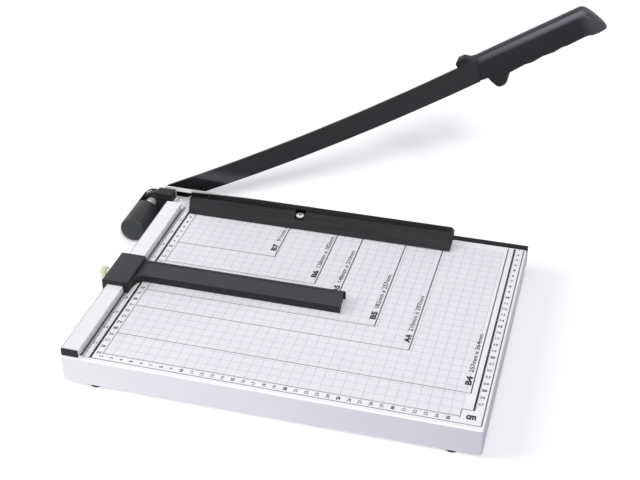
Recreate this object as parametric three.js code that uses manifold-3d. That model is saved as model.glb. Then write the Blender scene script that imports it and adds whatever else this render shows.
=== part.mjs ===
// A guillotine paper cutter: a pressed steel board with a bed knife, a paper stop rail, a sliding paper
// gauge, a finger guard, and a curved blade arm that turns on a spring-loaded pivot at the far left corner.
// Lengths are in millimetres and z is up. While it is put together, the paper stop is at x = 0, the cut is
// at y = 0 and the top of the board is at z = 0. The last lines move the whole part over its own base.
import * as THREE from "three";
import { mergeVertices } from "three/addons/utils/BufferGeometryUtils.js";
import Module from "manifold-3d";

const wasm = await Module();
wasm.setup();

// Fits between the pieces
const seatGap = 0.3;
const glueGap = 0.1;
const cutOverrun = 3;

// Board
const boardLength = 400.8;
const boardDepth = 297.7;
const boardHeight = 28;
const sheetThickness = 1.2;
const boardCornerRadius = 3;
const boardEdgeRadius = 1.6;
const flangeWidth = 14.5;

// Bed knife along the far edge of the board
const bedKnifeThickness = 7.4;
const bedKnifeHeight = 22;
const bedKnifeLeftInset = 3.3;
const bedKnifeScrewInset = 40;
const bedKnifeScrewDepth = 5;

// Paper stop rail and the inch scale beside it
const railWidth = 17;
const railHeight = 7.8;
const railFrontInset = 2;
const railBackSetback = 26;
const railCapThickness = 1.6;
const railPlugDepth = 7;
const railPlugWall = 2;
const railGrooveDepth = 1.2;
const railGrooveHeight = 4.6;
const railScrewInset = 30;
const railScrewDepth = 4.5;
const inchStripOffset = 1.2;
const inchStripWidth = 7.4;
const inchStripThickness = 0.5;
const inchStripFrontInset = 5.8;
const inchStripBackSetback = 22.3;

// Guard support, a steel angle that carries the finger guard above the paper
const supportThickness = 1.5;
const supportHeight = 14.1;
const supportLift = 1.3;
const supportLegDepth = 17;
const supportBackSetback = 5;
const supportUprightReach = 27;
const supportLegReach = 13.5;
const supportRight = 150;
const supportWindowLeft = 14;
const supportWindowRight = 22;
const supportWindowTop = 9.8;
const supportSpareHoleX = 2.9;
const supportSpareHoleY = 18.6;
const supportSpareHoleRadius = 1.8;
const spacerRightInset = 0.5;
const supportScrewX = 7;
const supportScrewFirstY = 11.4;
const supportScrewPitch = 6.8;
const uprightScrewX = 22;
const uprightScrewZ = 6.5;

// Finger guard
const guardLeft = 5.4;
const guardRight = 304.5;
const guardDepth = 26.4;
const guardHeight = 14;
const guardLift = 1;
const guardWall = 2;
const guardBackLift = 3.2;
const guardEndRadius = 4.5;
const guardEndSlant = 5.8;
const guardNoseDrop = 3;
const guardNoseLength = 75;
const guardScrewX = 136;
const guardScrewInset = 14;
const guardBossWidth = 11.4;
const guardSeatHeight = 9;
const guardSocketHeight = 5.8;
const guardNutRadius = 3.9;
const guardNutHeight = 2.4;
// The section's front face as shares of its depth and height, from the top's front edge down to the lip
const guardFaceShares = [
  [0.34, 1],
  [0.42, 0.91],
  [0.44, 0.83],
  [0.74, 0.41],
  [0.765, 0.31],
  [0.97, 0.08],
  [1, 0],
];

// Pivot
const pivotX = -43.4;
const pivotZ = -10;
const bracketFront = 20.2;
const bracketBack = 6.8;
const cradleFront = 24.5;
const cradleRadius = 14;
const cradleWall = 2;
const cradleOpeningReach = 8.8;
const cradleOpeningRise = 4;
const hubFront = 7.4;
const hubBack = 1.3;
const hubFaceRadius = 11;
// The hub's outline above the pivot's axis, as offsets from that axis to the right and up
const hubOutline = [[13.4, -2], [13.4, 18.5], [5.9, 15.9], [-1.6, 12.9], [-6.6, 8.6], [-9.1, 2], [-9.1, -2]];
const bracketTop = 12;
const bracketTopWidth = 19;
const bracketLip = 3.3;
const bracketFoot = 26;
const bracketScrewHighZ = 7;
const bracketScrewPitch = 12;
const bracketScrewY = 14.6;
const bracketScrewDepth = 6;
const boltRadius = 4;
const boltHeadRadius = 7.4;
const boltHeadHeight = 4.6;
const boltFrontEnd = 61;
const headWasherRadius = 9.5;
const headWasherThickness = 1.2;
const spacerWasherRadius = 12.6;
const spacerWasherThickness = 0.7;
const collarThickness = 4;
const collarSpigotLength = 3.4;
const collarSleeveRadius = 7.5;
const capRadius = 14;
const capWall = 1.5;
const capLength = 43.1;
const capEdge = 2;
const springRadius = 7.6;
const springWireRadius = 1.1;
const springLength = 21.1;
const springTurns = 7;
const frontWasherRadius = 9.8;
const frontWasherThickness = 1.5;
const nutRadius = 7.4;
const nutHeight = 6.2;

// Blade arm, in its closed attitude with the pivot as its origin
const armRestDegrees = 28;
const armThickness = 3;
const armHeelRadius = 13;
const armShoulder = 24.6;
const armShoulderDrop = 10.4;
const bladeStart = 60;
const bladeEnd = 411;
const bladeBevelHeight = 4;
const bladeEdgeThickness = 0.5;
const bladeRamp = 12;
const armLowPoint = 117.7;
const armLowDrop = 11.6;
const armLowerCurve = 3107;
const armHighPoint = 100.5;
const armHighRise = 9.85;
const armUpperCurve = 3234;
const tangLength = 36;
const tangRoot = 6;
const tangInset = 1.8;
const tangHeight = 9;
const tangSkin = 0.9;
const bladeEndLean = 7;

// Handle, in the blade arm's frame
const handleStart = 394.5;
const handleLength = 150.3;
const handleRise = 36;
const handleThickness = 20;
const handleTopRadius = 9;
const handleBottomRadius = 4;
const handleRoundingShare = 0.75;
const handleArcSteps = 5;
const handleButtLength = 16;
const handleButtInset = 8.8;
const handleScrewInset = 6.5;
const handleScrewPitch = 19;
const handleScrewDepth = 11;
// Rows of place along the handle as a share of its length, then underside and top as shares of its rise
const handleOutlineShares = [
  [0, 0.44, 0.76],
  [0.02, 0.32, 0.83],
  [0.06, 0.13, 0.84],
  [0.095, 0.06, 0.74],
  [0.13, 0.05, 0.725],
  [0.166, 0.05, 0.739],
  [0.178, -0.1, 0.743],
  [0.196, -0.26, 0.749],
  [0.212, -0.31, 0.755],
  [0.247, -0.3, 0.767],
  [0.268, -0.25, 0.774],
  [0.292, -0.11, 0.782],
  [0.313, -0.015, 0.79],
  [0.36, 0.015, 0.806],
  [0.43, 0.06, 0.83],
  [0.48, 0.048, 0.847],
  [0.557, 0.112, 0.873],
  [0.636, 0.112, 0.9],
  [0.695, 0.162, 0.92],
  [0.745, 0.162, 0.937],
  [0.858, 0.222, 0.975],
  [0.886, 0.222, 0.982],
  [0.901, 0.205, 0.964],
  [0.915, 0.19, 0.92],
  [0.93, 0.188, 0.845],
  [0.948, 0.188, 0.725],
  [0.963, 0.188, 0.61],
  [0.98, 0.19, 0.465],
  [0.993, 0.2, 0.35],
  [1, 0.215, 0.26],
];

// Paper gauge, with y measured from the back face of its fence
const gaugeRestY = -145;
const gaugeHeadWall = 5.2;
const gaugeLeftWall = 4.7;
const gaugeHeadTop = 13.5;
const gaugeHeadLead = 1;
const gaugeHeadLength = 50.5;
const gaugeHeadRadius = 2;
const gaugeLeftLift = 1.6;
const gaugeLift = 0.9;
const gaugeArmReach = 216.9;
const gaugeArmDepth = 26.2;
const gaugeArmEndSlant = 2.8;
const gaugeArmTop = 8.7;
const gaugeFilletReach = 14.2;
const gaugeFilletDepth = 46.7;
const fenceReach = 219.2;
const fenceThickness = 2.5;
const fenceTop = 9.3;
const thumbscrewY = -24;
const thumbscrewZ = 5;
const thumbscrewRadius = 2;
const thumbscrewKnobRadius = 5.7;
const thumbscrewKnobThickness = 6;
const thumbscrewNeckRadius = 3.4;
const thumbscrewNeckLength = 5.5;
const thumbscrewKnobEdge = 0.8;

// Feet under the board's flange
const footRadius = 6.3;
const footDrop = 3;
const footEdge = 0.6;
const footFrontInset = 6.4;
const footLeftInset = 31.8;
const footRightInset = 27.5;
const footRecessRadius = 3.4;
const footRecessDepth = 1.9;
const footScrewReach = 3;

// Pan head screws
const smallScrewRadius = 1.5;
const smallHeadRadius = 2.9;
const smallHeadHeight = 1.3;
const largeScrewRadius = 2;
const largeHeadRadius = 4;
const largeHeadHeight = 2;
const guardHeadRadius = 4.5;
const headCrownShare = 0.75;
const crossWidthShare = 0.28;
const crossLengthShare = 1.1;
const crossDepthShare = 0.5;

// Places worked out from the sizes above
const boardLeft = -railWidth - seatGap;
const boardRight = boardLeft + boardLength;
const boardBack = -bedKnifeThickness - seatGap;
const boardFront = boardBack - boardDepth;
const bedKnifeLeft = boardLeft + bedKnifeLeftInset;
const railFront = boardFront + railFrontInset;
const railTop = glueGap + railHeight;
const guardBack = boardBack;
const guardFront = guardBack - guardDepth;
const guardTop = guardLift + guardHeight;
const supportBack = -supportBackSetback;
const supportFloorTop = supportLift + supportThickness;
const legFront = supportBack - supportLegDepth;
const bracketWallX = boardLeft - seatGap;
const bracketLipX = boardLeft + bracketLip;
const collarBack = -cradleFront - seatGap;
const collarFront = collarBack - collarThickness;
const springBack = collarFront - seatGap;
const frontWasherBack = springBack - springLength - seatGap;
const nutBack = frontWasherBack - frontWasherThickness - seatGap;
const armInner = seatGap;
const armOuter = armInner + armThickness;
const headWasherFront = armOuter + seatGap;
const boltHeadFront = headWasherFront + headWasherThickness + seatGap;
const handleInner = armInner;
const handleBack = handleInner + handleThickness;
const guardScrewY = guardFront + guardScrewInset;
const tangEnd = bladeEnd + tangLength;
const armLower = (x) => -armLowDrop + (x - armLowPoint) ** 2 / (2 * armLowerCurve);
const armUpper = (x) => armHighRise + (x - armHighPoint) ** 2 / (2 * armUpperCurve);
const tangLow = armLower(bladeEnd) + tangInset;
const tangMiddle = tangLow + tangHeight / 2;
const tangFront = armInner + tangSkin + seatGap;
const handleFrontSeat = armInner + smallHeadHeight;
const handleBackSeat = handleBack - smallHeadHeight - seatGap;
const legSurface = supportFloorTop + seatGap;
const flangeTop = -boardHeight + sheetThickness;

// Solids from three.js geometry
function toSolid(geometry) {
  const bare = geometry.clone();
  bare.deleteAttribute("normal");
  bare.deleteAttribute("uv");
  const merged = mergeVertices(bare);
  const corners = merged.index.array;
  const faces = [];
  for (let i = 0; i < corners.length; i += 3) {
    const [a, b, c] = corners.slice(i, i + 3);
    if (a !== b && b !== c && c !== a) {
      faces.push(a, b, c);
    }
  }
  const solidOf = (triVerts) =>
    new wasm.Manifold(
      new wasm.Mesh({
        numProp: 3,
        vertProperties: merged.getAttribute("position").array,
        triVerts: new Uint32Array(triVerts),
      }),
    );
  const solid = solidOf(faces);
  return solid.volume() < 0 ? solidOf(faces.reverse()) : solid;
}

function toGeometry(solid) {
  const { vertProperties, triVerts, numProp } = solid.getMesh();
  const geometry = new THREE.BufferGeometry();
  geometry.setAttribute("position", new THREE.BufferAttribute(vertProperties, numProp));
  geometry.setIndex(new THREE.BufferAttribute(triVerts, 1));
  const faceted = geometry.toNonIndexed();
  faceted.computeVertexNormals();
  return faceted;
}

const join = (first, ...others) => others.reduce((whole, other) => whole.add(other), first);
const cut = (first, ...others) => others.reduce((whole, other) => whole.subtract(other), first);

function boxSolid([x0, x1], [y0, y1], [z0, z1]) {
  const box = new THREE.BoxGeometry(x1 - x0, y1 - y0, z1 - z0);
  box.translate((x0 + x1) / 2, (y0 + y1) / 2, (z0 + z1) / 2);
  return toSolid(box);
}

function rodSolid(start, end, radius, sides = 16) {
  const from = new THREE.Vector3(...start);
  const along = new THREE.Vector3(...end).sub(from);
  const rod = new THREE.CylinderGeometry(radius, radius, along.length(), sides);
  rod.translate(0, along.length() / 2, 0);
  const turn = new THREE.Quaternion().setFromUnitVectors(THREE.Object3D.DEFAULT_UP, along.normalize());
  rod.applyQuaternion(turn);
  rod.translate(from.x, from.y, from.z);
  return toSolid(rod);
}

function outlineShape(outline) {
  if (outline instanceof THREE.Shape) return outline;
  return new THREE.Shape(outline.map(([a, b]) => new THREE.Vector2(a, b)));
}

function extruded(outline, length, axes) {
  const settings = { depth: length, bevelEnabled: false, curveSegments: 6 };
  const prism = new THREE.ExtrudeGeometry(outlineShape(outline), settings);
  prism.applyMatrix4(new THREE.Matrix4().makeBasis(...axes));
  return prism;
}

const xAxis = new THREE.Vector3(1, 0, 0);
const yAxis = new THREE.Vector3(0, 1, 0);
const zAxis = new THREE.Vector3(0, 0, 1);

// A prism along x, from an outline of (y, z) points
function prismAlongX(outline, [x0, x1]) {
  return toSolid(extruded(outline, x1 - x0, [yAxis, zAxis, xAxis]).translate(x0, 0, 0));
}

// A prism along y, from an outline of (x, z) points
function prismAlongY(outline, [y0, y1]) {
  const axes = [xAxis, zAxis, yAxis.clone().negate()];
  return toSolid(extruded(outline, y1 - y0, axes).translate(0, y1, 0));
}

// A prism along z, from an outline of (x, y) points
function prismAlongZ(outline, [z0, z1]) {
  return toSolid(extruded(outline, z1 - z0, [xAxis, yAxis, zAxis]).translate(0, 0, z0));
}

// A turned piece about y, from (radius, y) points that start and end on the axis
function turnedSolid(profile, sides = 32) {
  return toSolid(new THREE.LatheGeometry(profile.map(([r, y]) => new THREE.Vector2(r, y)), sides));
}

// A turned piece about y with a straight bore
function ringSolid(radius, boreRadius, [y0, y1], sides = 32) {
  const disc = turnedSolid([[0, y0], [radius, y0], [radius, y1], [0, y1]], sides);
  return cut(disc, rodSolid([0, y0 - cutOverrun, 0], [0, y1 + cutOverrun, 0], boreRadius));
}

// A closed skin through rings of equally many points, with a flat face at each end
function loftSolid(rings) {
  const count = rings[0].length;
  const index = [];
  for (let ring = 0; ring + 1 < rings.length; ring += 1) {
    for (let i = 0; i < count; i += 1) {
      const here = ring * count + i;
      const beside = ring * count + ((i + 1) % count);
      index.push(here, beside, beside + count, here, beside + count, here + count);
    }
  }
  const last = (rings.length - 1) * count;
  for (let i = 1; i + 1 < count; i += 1) {
    index.push(0, i + 1, i, last, last + i, last + i + 1);
  }
  const skin = new THREE.BufferGeometry().setFromPoints(rings.flat());
  skin.setIndex(index);
  return toSolid(skin);
}

// Points round a rectangle whose corners are rounded, each corner with its own radius
function roundedOutline([a0, a1], [b0, b1], [lowerA, lowerB, upperB, upperA], steps = 3) {
  const corners = [
    [a0 + lowerA, b0 + lowerA, lowerA, Math.PI],
    [a1 - lowerB, b0 + lowerB, lowerB, Math.PI * 1.5],
    [a1 - upperB, b1 - upperB, upperB, 0],
    [a0 + upperA, b1 - upperA, upperA, Math.PI / 2],
  ];
  return corners.flatMap(([a, b, radius, start]) =>
    Array.from({ length: steps + 1 }, (_, i) => {
      const turn = start + (Math.PI / 2) * (i / steps);
      return [a + radius * Math.cos(turn), b + radius * Math.sin(turn)];
    }),
  );
}

// Materials
const paint = (color, roughness) => () => new THREE.MeshStandardMaterial({ color, roughness, metalness: 0 });
const metal = (color, roughness) => () => new THREE.MeshStandardMaterial({ color, roughness, metalness: 1 });
const whiteEnamel = paint(0xe6e6ea, 0.4);
const railEnamel = paint(0xf2f2f3, 0.4);
const paleStrip = metal(0xcfd4c8, 0.45);
const blackSteel = paint(0x303031, 0.45);
const blackPlastic = paint(0x2c2c2e, 0.55);
const handlePlastic = paint(0x24262c, 0.35);
const capPlastic = paint(0x3c4042, 0.4);
const gaugePlastic = paint(0x38373b, 0.5);
const zincPlate = metal(0xc9cacc, 0.35);
const chromePlate = metal(0xdcdee0, 0.15);
const brass = metal(0xc9c08a, 0.35);
const rubber = paint(0x1b1b1c, 0.8);

// A named mesh in its group
function addPiece(group, name, solid, material, position = [0, 0, 0], rotation = [0, 0, 0]) {
  const mesh = new THREE.Mesh(toGeometry(solid), material());
  mesh.name = name;
  mesh.position.set(...position);
  mesh.rotation.set(...rotation);
  group.add(mesh);
}

// A pan head screw that points down from the underside of its head, with a cross recess
function panScrew(radius, length, headRadius, headHeight) {
  const crown = headRadius * headCrownShare;
  const shoulder = headHeight * headCrownShare;
  const profile = [[0, -length], [radius, -length], [radius, 0], [headRadius, 0]];
  profile.push([headRadius, shoulder], [crown, headHeight], [0, headHeight]);
  const lathe = new THREE.LatheGeometry(profile.map(([r, z]) => new THREE.Vector2(r, z)), 14);
  lathe.rotateX(Math.PI / 2);
  const halfWidth = (headRadius * crossWidthShare) / 2;
  const halfLength = (headRadius * crossLengthShare) / 2;
  const recess = [headHeight * (1 - crossDepthShare), headHeight + cutOverrun];
  return cut(
    toSolid(lathe),
    boxSolid([-halfLength, halfLength], [-halfWidth, halfWidth], recess),
    boxSolid([-halfWidth, halfWidth], [-halfLength, halfLength], recess),
  );
}

// Turns that point a screw's head to each side
const headUp = [0, 0, 0];
const headDown = [Math.PI, 0, 0];
const headFront = [Math.PI / 2, 0, 0];
const headBack = [-Math.PI / 2, 0, 0];
const headRight = [0, Math.PI / 2, 0];

// Places of the screws and feet
const spread = (from, to, count) =>
  Array.from({ length: count }, (_, i) => from + ((to - from) * i) / (count - 1));
const bedKnifeScrewXs = spread(bedKnifeLeft + bedKnifeScrewInset, boardRight - bedKnifeScrewInset, 4);
const bedKnifeScrewZ = -bedKnifeHeight / 2;
const railScrewYs = spread(railFront + railScrewInset, -railBackSetback - railScrewInset, 3);
const supportScrewYs = spread(-supportScrewFirstY, -supportScrewFirstY - supportScrewPitch, 2);
const bracketScrewZs = spread(-bracketScrewHighZ, -bracketScrewHighZ - bracketScrewPitch, 2);
const footPlaces = [
  [boardLeft + footLeftInset, boardFront + footFrontInset],
  [boardRight - footRightInset, boardFront + footFrontInset],
  [boardRight - footRightInset, boardBack - footFrontInset],
  [boardLeft + footLeftInset, boardBack - footFrontInset],
];
const handleScrewXs = spread(bladeEnd + handleScrewInset, bladeEnd + handleScrewInset + handleScrewPitch, 2);

// Board
function boardRing(inset, z) {
  const radius = Math.max(boardCornerRadius - inset, boardCornerRadius - boardEdgeRadius);
  const outline = roundedOutline(
    [boardLeft + inset, boardRight - inset],
    [boardFront + inset, boardBack - inset],
    [radius, radius, radius, radius],
  );
  return outline.map(([x, y]) => new THREE.Vector3(x, y, z));
}

function basePan() {
  const edgeSteps = [0, 1, 2, 3].map((step) => (Math.PI / 2) * (step / 3));
  const rings = [boardRing(0, -boardHeight)];
  for (const turn of edgeSteps) {
    const inset = boardEdgeRadius * (1 - Math.cos(turn));
    rings.push(boardRing(inset, boardEdgeRadius * (Math.sin(turn) - 1)));
  }
  const hollow = [boardRing(sheetThickness, flangeTop), boardRing(sheetThickness, -sheetThickness)];
  const mouth = boxSolid(
    [boardLeft + flangeWidth, boardRight - flangeWidth],
    [boardFront + flangeWidth, boardBack - flangeWidth],
    [-boardHeight - cutOverrun, flangeTop + cutOverrun],
  );
  return cut(loftSolid(rings), loftSolid(hollow), mouth, ...panHoles());
}

function panHoles() {
  const small = smallScrewRadius + seatGap;
  const large = largeScrewRadius + seatGap;
  const through = [-sheetThickness - cutOverrun, cutOverrun];
  const upright = (x, y) => rodSolid([x, y, through[0]], [x, y, through[1]], small);
  const backWall = (x) => {
    const z = bedKnifeScrewZ;
    return rodSolid([x, boardBack - cutOverrun, z], [x, boardBack + cutOverrun, z], large);
  };
  const leftWall = (z) =>
    rodSolid([boardLeft - cutOverrun, -bracketScrewY, z], [boardLeft + cutOverrun, -bracketScrewY, z], large);
  const under = [-boardHeight - cutOverrun, -boardHeight + cutOverrun];
  const flange = ([x, y]) => rodSolid([x, y, under[0]], [x, y, under[1]], small);
  return [
    ...railScrewYs.map((y) => upright(-railWidth / 2, y)),
    ...supportScrewYs.map((y) => upright(-supportScrewX, y)),
    ...bedKnifeScrewXs.map(backWall),
    ...bracketScrewZs.map(leftWall),
    ...footPlaces.map(flange),
  ];
}

function bedKnife() {
  const bar = boxSolid([bedKnifeLeft, boardRight], [-bedKnifeThickness, 0], [-bedKnifeHeight, 0]);
  const depth = -bedKnifeThickness + bedKnifeScrewDepth + seatGap;
  const holes = bedKnifeScrewXs.map((x) =>
    rodSolid(
      [x, -bedKnifeThickness - cutOverrun, bedKnifeScrewZ],
      [x, depth, bedKnifeScrewZ],
      largeScrewRadius + seatGap,
    ),
  );
  return cut(bar, ...holes);
}

function addBoard(group) {
  addPiece(group, "base_pan", basePan(), whiteEnamel);
  addPiece(group, "bed_knife", bedKnife(), blackSteel);
  const inside = boardBack - sheetThickness - seatGap;
  const knifeScrewLength = bedKnifeScrewDepth - bedKnifeThickness - inside;
  bedKnifeScrewXs.forEach((x, i) => {
    const screw = panScrew(largeScrewRadius, knifeScrewLength, largeHeadRadius, largeHeadHeight);
    addPiece(group, `bed_knife_screw_${i + 1}`, screw, zincPlate, [x, inside, bedKnifeScrewZ], headFront);
  });
}

// Feet
function foot() {
  const profile = [[0, -footDrop], [footRadius - footEdge, -footDrop], [footRadius, footEdge - footDrop]];
  profile.push([footRadius, -seatGap], [0, -seatGap]);
  const pad = turnedSolid(profile, 24);
  return cut(
    pad,
    rodSolid([0, -footDrop - cutOverrun, 0], [0, cutOverrun, 0], smallScrewRadius + seatGap),
    rodSolid([0, -footDrop - cutOverrun, 0], [0, footRecessDepth - footDrop, 0], footRecessRadius),
  );
}

function addFeet(group) {
  const headLevel = -boardHeight - footDrop + footRecessDepth - seatGap;
  const screwLength = flangeTop + footScrewReach - headLevel;
  footPlaces.forEach(([x, y], i) => {
    const screw = panScrew(smallScrewRadius, screwLength, smallHeadRadius, smallHeadHeight);
    addPiece(group, `foot_${i + 1}`, foot(), rubber, [x, y, -boardHeight], [Math.PI / 2, 0, 0]);
    addPiece(group, `foot_screw_${i + 1}`, screw, zincPlate, [x, y, headLevel], headDown);
  });
}

// Paper stop rail
function paperRail() {
  const y = [railFront + railCapThickness + seatGap, -railBackSetback - railCapThickness - seatGap];
  const bar = boxSolid([-railWidth, 0], y, [glueGap, railTop]);
  const groove = boxSolid(
    [-railWidth - cutOverrun, railGrooveDepth - railWidth],
    [y[0] - cutOverrun, y[1] + cutOverrun],
    [thumbscrewZ - railGrooveHeight / 2, thumbscrewZ + railGrooveHeight / 2],
  );
  const pocketX = [-railWidth + railPlugWall * 2, -railPlugWall];
  const pocketZ = [glueGap + railPlugWall, railTop - railPlugWall];
  const reach = railPlugDepth + seatGap;
  const holes = railScrewYs.map((place) =>
    rodSolid(
      [-railWidth / 2, place, glueGap - cutOverrun],
      [-railWidth / 2, place, glueGap + railScrewDepth + seatGap],
      smallScrewRadius + seatGap,
    ),
  );
  return cut(
    bar,
    groove,
    boxSolid(pocketX, [y[0] - cutOverrun, y[0] + reach], pocketZ),
    boxSolid(pocketX, [y[1] - reach, y[1] + cutOverrun], pocketZ),
    ...holes,
  );
}

// An end plug of the rail, with its plate's outer face at y = 0 and its tongue along +y
function railCap() {
  const inset = railPlugWall + seatGap;
  const plate = boxSolid([-railWidth, 0], [0, railCapThickness], [glueGap, railTop]);
  const tongue = boxSolid(
    [-railWidth + railPlugWall * 2 + seatGap, -inset],
    [0, railCapThickness + railPlugDepth],
    [glueGap + inset, railTop - inset],
  );
  return join(plate, tongue);
}

function inchStrip() {
  const x = [inchStripOffset, inchStripOffset + inchStripWidth];
  const y = [boardFront + inchStripFrontInset, -inchStripBackSetback];
  return boxSolid(x, y, [glueGap, glueGap + inchStripThickness]);
}

// The far plug is the mirror image of the near one
function farRailCap() {
  return railCap().mirror([0, 1, 0]);
}

function addRail(group) {
  addPiece(group, "paper_rail", paperRail(), railEnamel);
  addPiece(group, "rail_front_cap", railCap(), blackPlastic, [0, railFront, 0]);
  addPiece(group, "rail_rear_cap", farRailCap(), railEnamel, [0, -railBackSetback, 0]);
  addPiece(group, "inch_ruler_strip", inchStrip(), paleStrip);
  const under = -sheetThickness - seatGap;
  railScrewYs.forEach((y, i) => {
    const length = glueGap + railScrewDepth - under;
    const screw = panScrew(smallScrewRadius, length, smallHeadRadius, smallHeadHeight);
    addPiece(group, `rail_screw_${i + 1}`, screw, zincPlate, [-railWidth / 2, y, under], headDown);
  });
}

// Finger guard and its support
function guardSpacer() {
  const plate = boxSolid(
    [-supportLegReach, -spacerRightInset],
    [legFront, boardBack],
    [glueGap, supportLift - seatGap],
  );
  const holes = supportScrewYs.map((y) =>
    rodSolid([-supportScrewX, y, -cutOverrun], [-supportScrewX, y, cutOverrun], smallScrewRadius + seatGap),
  );
  return cut(plate, ...holes);
}

function guardSupport() {
  const wallY = [supportBack - supportThickness, supportBack];
  const legX = [-supportLegReach, supportRight];
  const leg = boxSolid(legX, [legFront, supportBack], [supportLift, supportFloorTop]);
  const rootOfUpright = boxSolid(legX, wallY, [supportLift, supportFloorTop + cutOverrun]);
  const upright = boxSolid([-supportUprightReach, supportRight], wallY, [supportFloorTop, supportHeight]);
  const window = boxSolid(
    [-supportWindowLeft, supportWindowRight],
    [wallY[0] - cutOverrun, wallY[1] + cutOverrun],
    [supportFloorTop, supportWindowTop],
  );
  const legHoles = supportScrewYs.map((y) =>
    rodSolid([-supportScrewX, y, 0], [-supportScrewX, y, supportHeight], smallScrewRadius + seatGap),
  );
  const uprightHole = rodSolid(
    [-uprightScrewX, wallY[0] - cutOverrun, uprightScrewZ],
    [-uprightScrewX, wallY[1] + cutOverrun, uprightScrewZ],
    smallScrewRadius + seatGap,
  );
  const guardHole = rodSolid(
    [guardScrewX, guardScrewY, 0],
    [guardScrewX, guardScrewY, supportHeight],
    largeScrewRadius + seatGap,
  );
  const spareHole = rodSolid(
    [supportSpareHoleX, -supportSpareHoleY, 0],
    [supportSpareHoleX, -supportSpareHoleY, supportHeight],
    supportSpareHoleRadius,
  );
  const blank = join(leg, rootOfUpright, upright);
  return cut(blank, window, ...legHoles, uprightHole, guardHole, spareHole);
}

function guardSection(wall) {
  const face = guardFaceShares.map(([along, up]) => [
    guardBack - along * guardDepth,
    guardLift + up * guardHeight,
  ]);
  if (wall === 0) {
    const heel = [[guardBack, guardBackLift], [guardBack, guardTop]];
    return [...heel, ...face, [guardFront + guardWall, guardLift]];
  }
  const back = guardBack - wall;
  const [brow, , , , , toe] = face;
  const ceiling = guardTop - wall;
  return [
    [back, guardLift - cutOverrun],
    [back, ceiling],
    [brow[0] + wall / 2, ceiling],
    [toe[0] + wall, guardLift + wall],
    [toe[0] + wall, guardLift - cutOverrun],
  ];
}

function fingerGuard() {
  const section = [...guardSection(0), [guardBack - guardWall, guardBackLift]];
  const shell = prismAlongX(section, [guardLeft, guardRight]);
  const hollow = prismAlongX(guardSection(guardWall), [guardLeft - cutOverrun, guardRight - guardWall]);
  const bossX = [guardScrewX - guardBossWidth / 2, guardScrewX + guardBossWidth / 2];
  const bossY = [guardScrewY - guardBossWidth / 2, guardScrewY + guardBossWidth / 2];
  const boss = boxSolid(bossX, bossY, [legSurface, guardSeatHeight]);
  const seat = boxSolid(bossX, bossY, [guardSeatHeight, guardTop + cutOverrun]);
  const shank = rodSolid(
    [guardScrewX, guardScrewY, 0],
    [guardScrewX, guardScrewY, guardTop],
    largeScrewRadius + seatGap,
  );
  const socket = rodSolid(
    [guardScrewX, guardScrewY, 0],
    [guardScrewX, guardScrewY, guardSocketHeight],
    guardNutRadius + seatGap,
    6,
  );
  const bossed = join(cut(shell, hollow), boss);
  return cut(bossed, seat, shank, socket, guardNose(), guardLeftEnd(), guardRightCorner());
}

// The wedge that lowers the top towards the left end
function guardNose() {
  const lift = guardTop + cutOverrun;
  const outline = [[0, guardTop - guardNoseDrop], [guardLeft + guardNoseLength, guardTop]];
  outline.push([guardLeft + guardNoseLength, lift], [0, lift]);
  return prismAlongY(outline, [guardFront - cutOverrun, guardBack + cutOverrun]);
}

// The slanted cut of the left end
function guardLeftEnd() {
  const near = guardFront - cutOverrun;
  const far = guardBack + cutOverrun;
  const slant = guardEndSlant / guardDepth;
  const outline = [[guardLeft - cutOverrun, near], [guardLeft + slant * (guardBack - near), near]];
  outline.push([guardLeft - slant * cutOverrun, far], [guardLeft - cutOverrun, far]);
  return prismAlongZ(outline, [0, guardTop + cutOverrun]);
}

// The rounded top corner of the right end
function guardRightCorner() {
  const [centreX, centreZ] = [guardRight - guardEndRadius, guardTop - guardEndRadius];
  const corner = new THREE.Shape();
  corner.moveTo(centreX, guardTop + cutOverrun);
  corner.lineTo(centreX, guardTop);
  corner.absarc(centreX, centreZ, guardEndRadius, Math.PI / 2, 0, true);
  corner.lineTo(guardRight + cutOverrun, centreZ);
  corner.lineTo(guardRight + cutOverrun, guardTop + cutOverrun);
  return prismAlongY(corner, [guardFront - cutOverrun, guardBack + cutOverrun]);
}

function guardNut() {
  return ringSolid(guardNutRadius, largeScrewRadius + seatGap, [0, guardNutHeight], 6);
}

function addGuard(group) {
  addPiece(group, "guard_spacer", guardSpacer(), zincPlate);
  addPiece(group, "guard_support", guardSupport(), zincPlate);
  addPiece(group, "finger_guard", fingerGuard(), blackPlastic);
  const legLevel = supportFloorTop + seatGap;
  const legScrewLength = legLevel + sheetThickness + smallHeadHeight;
  supportScrewYs.forEach((y, i) => {
    const screw = panScrew(smallScrewRadius, legScrewLength, smallHeadRadius, smallHeadHeight);
    addPiece(group, `guard_support_screw_${i + 1}`, screw, zincPlate, [-supportScrewX, y, legLevel], headUp);
  });
  const uprightScrewY = supportBack + seatGap;
  const uprightScrewLength = bracketBack - supportBackSetback + bracketScrewDepth;
  const uprightScrew = panScrew(smallScrewRadius, uprightScrewLength, smallHeadRadius, smallHeadHeight);
  const place = [-uprightScrewX, uprightScrewY, uprightScrewZ];
  addPiece(group, "guard_support_screw_3", uprightScrew, zincPlate, place, headBack);
  const seatLevel = guardSeatHeight + seatGap;
  const guardScrewLength = seatLevel - supportLift;
  const guardScrew = panScrew(largeScrewRadius, guardScrewLength, guardHeadRadius, largeHeadHeight);
  addPiece(group, "guard_screw", guardScrew, chromePlate, [guardScrewX, guardScrewY, seatLevel], headUp);
  const nutPlace = [guardScrewX, guardScrewY, legSurface];
  addPiece(group, "guard_nut", guardNut(), zincPlate, nutPlace, [Math.PI / 2, 0, 0]);
}

// Pivot bracket
function alongPivot([y0, y1], radius, sides = 40) {
  return rodSolid([pivotX, y0, pivotZ], [pivotX, y1, pivotZ], radius, sides);
}

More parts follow.
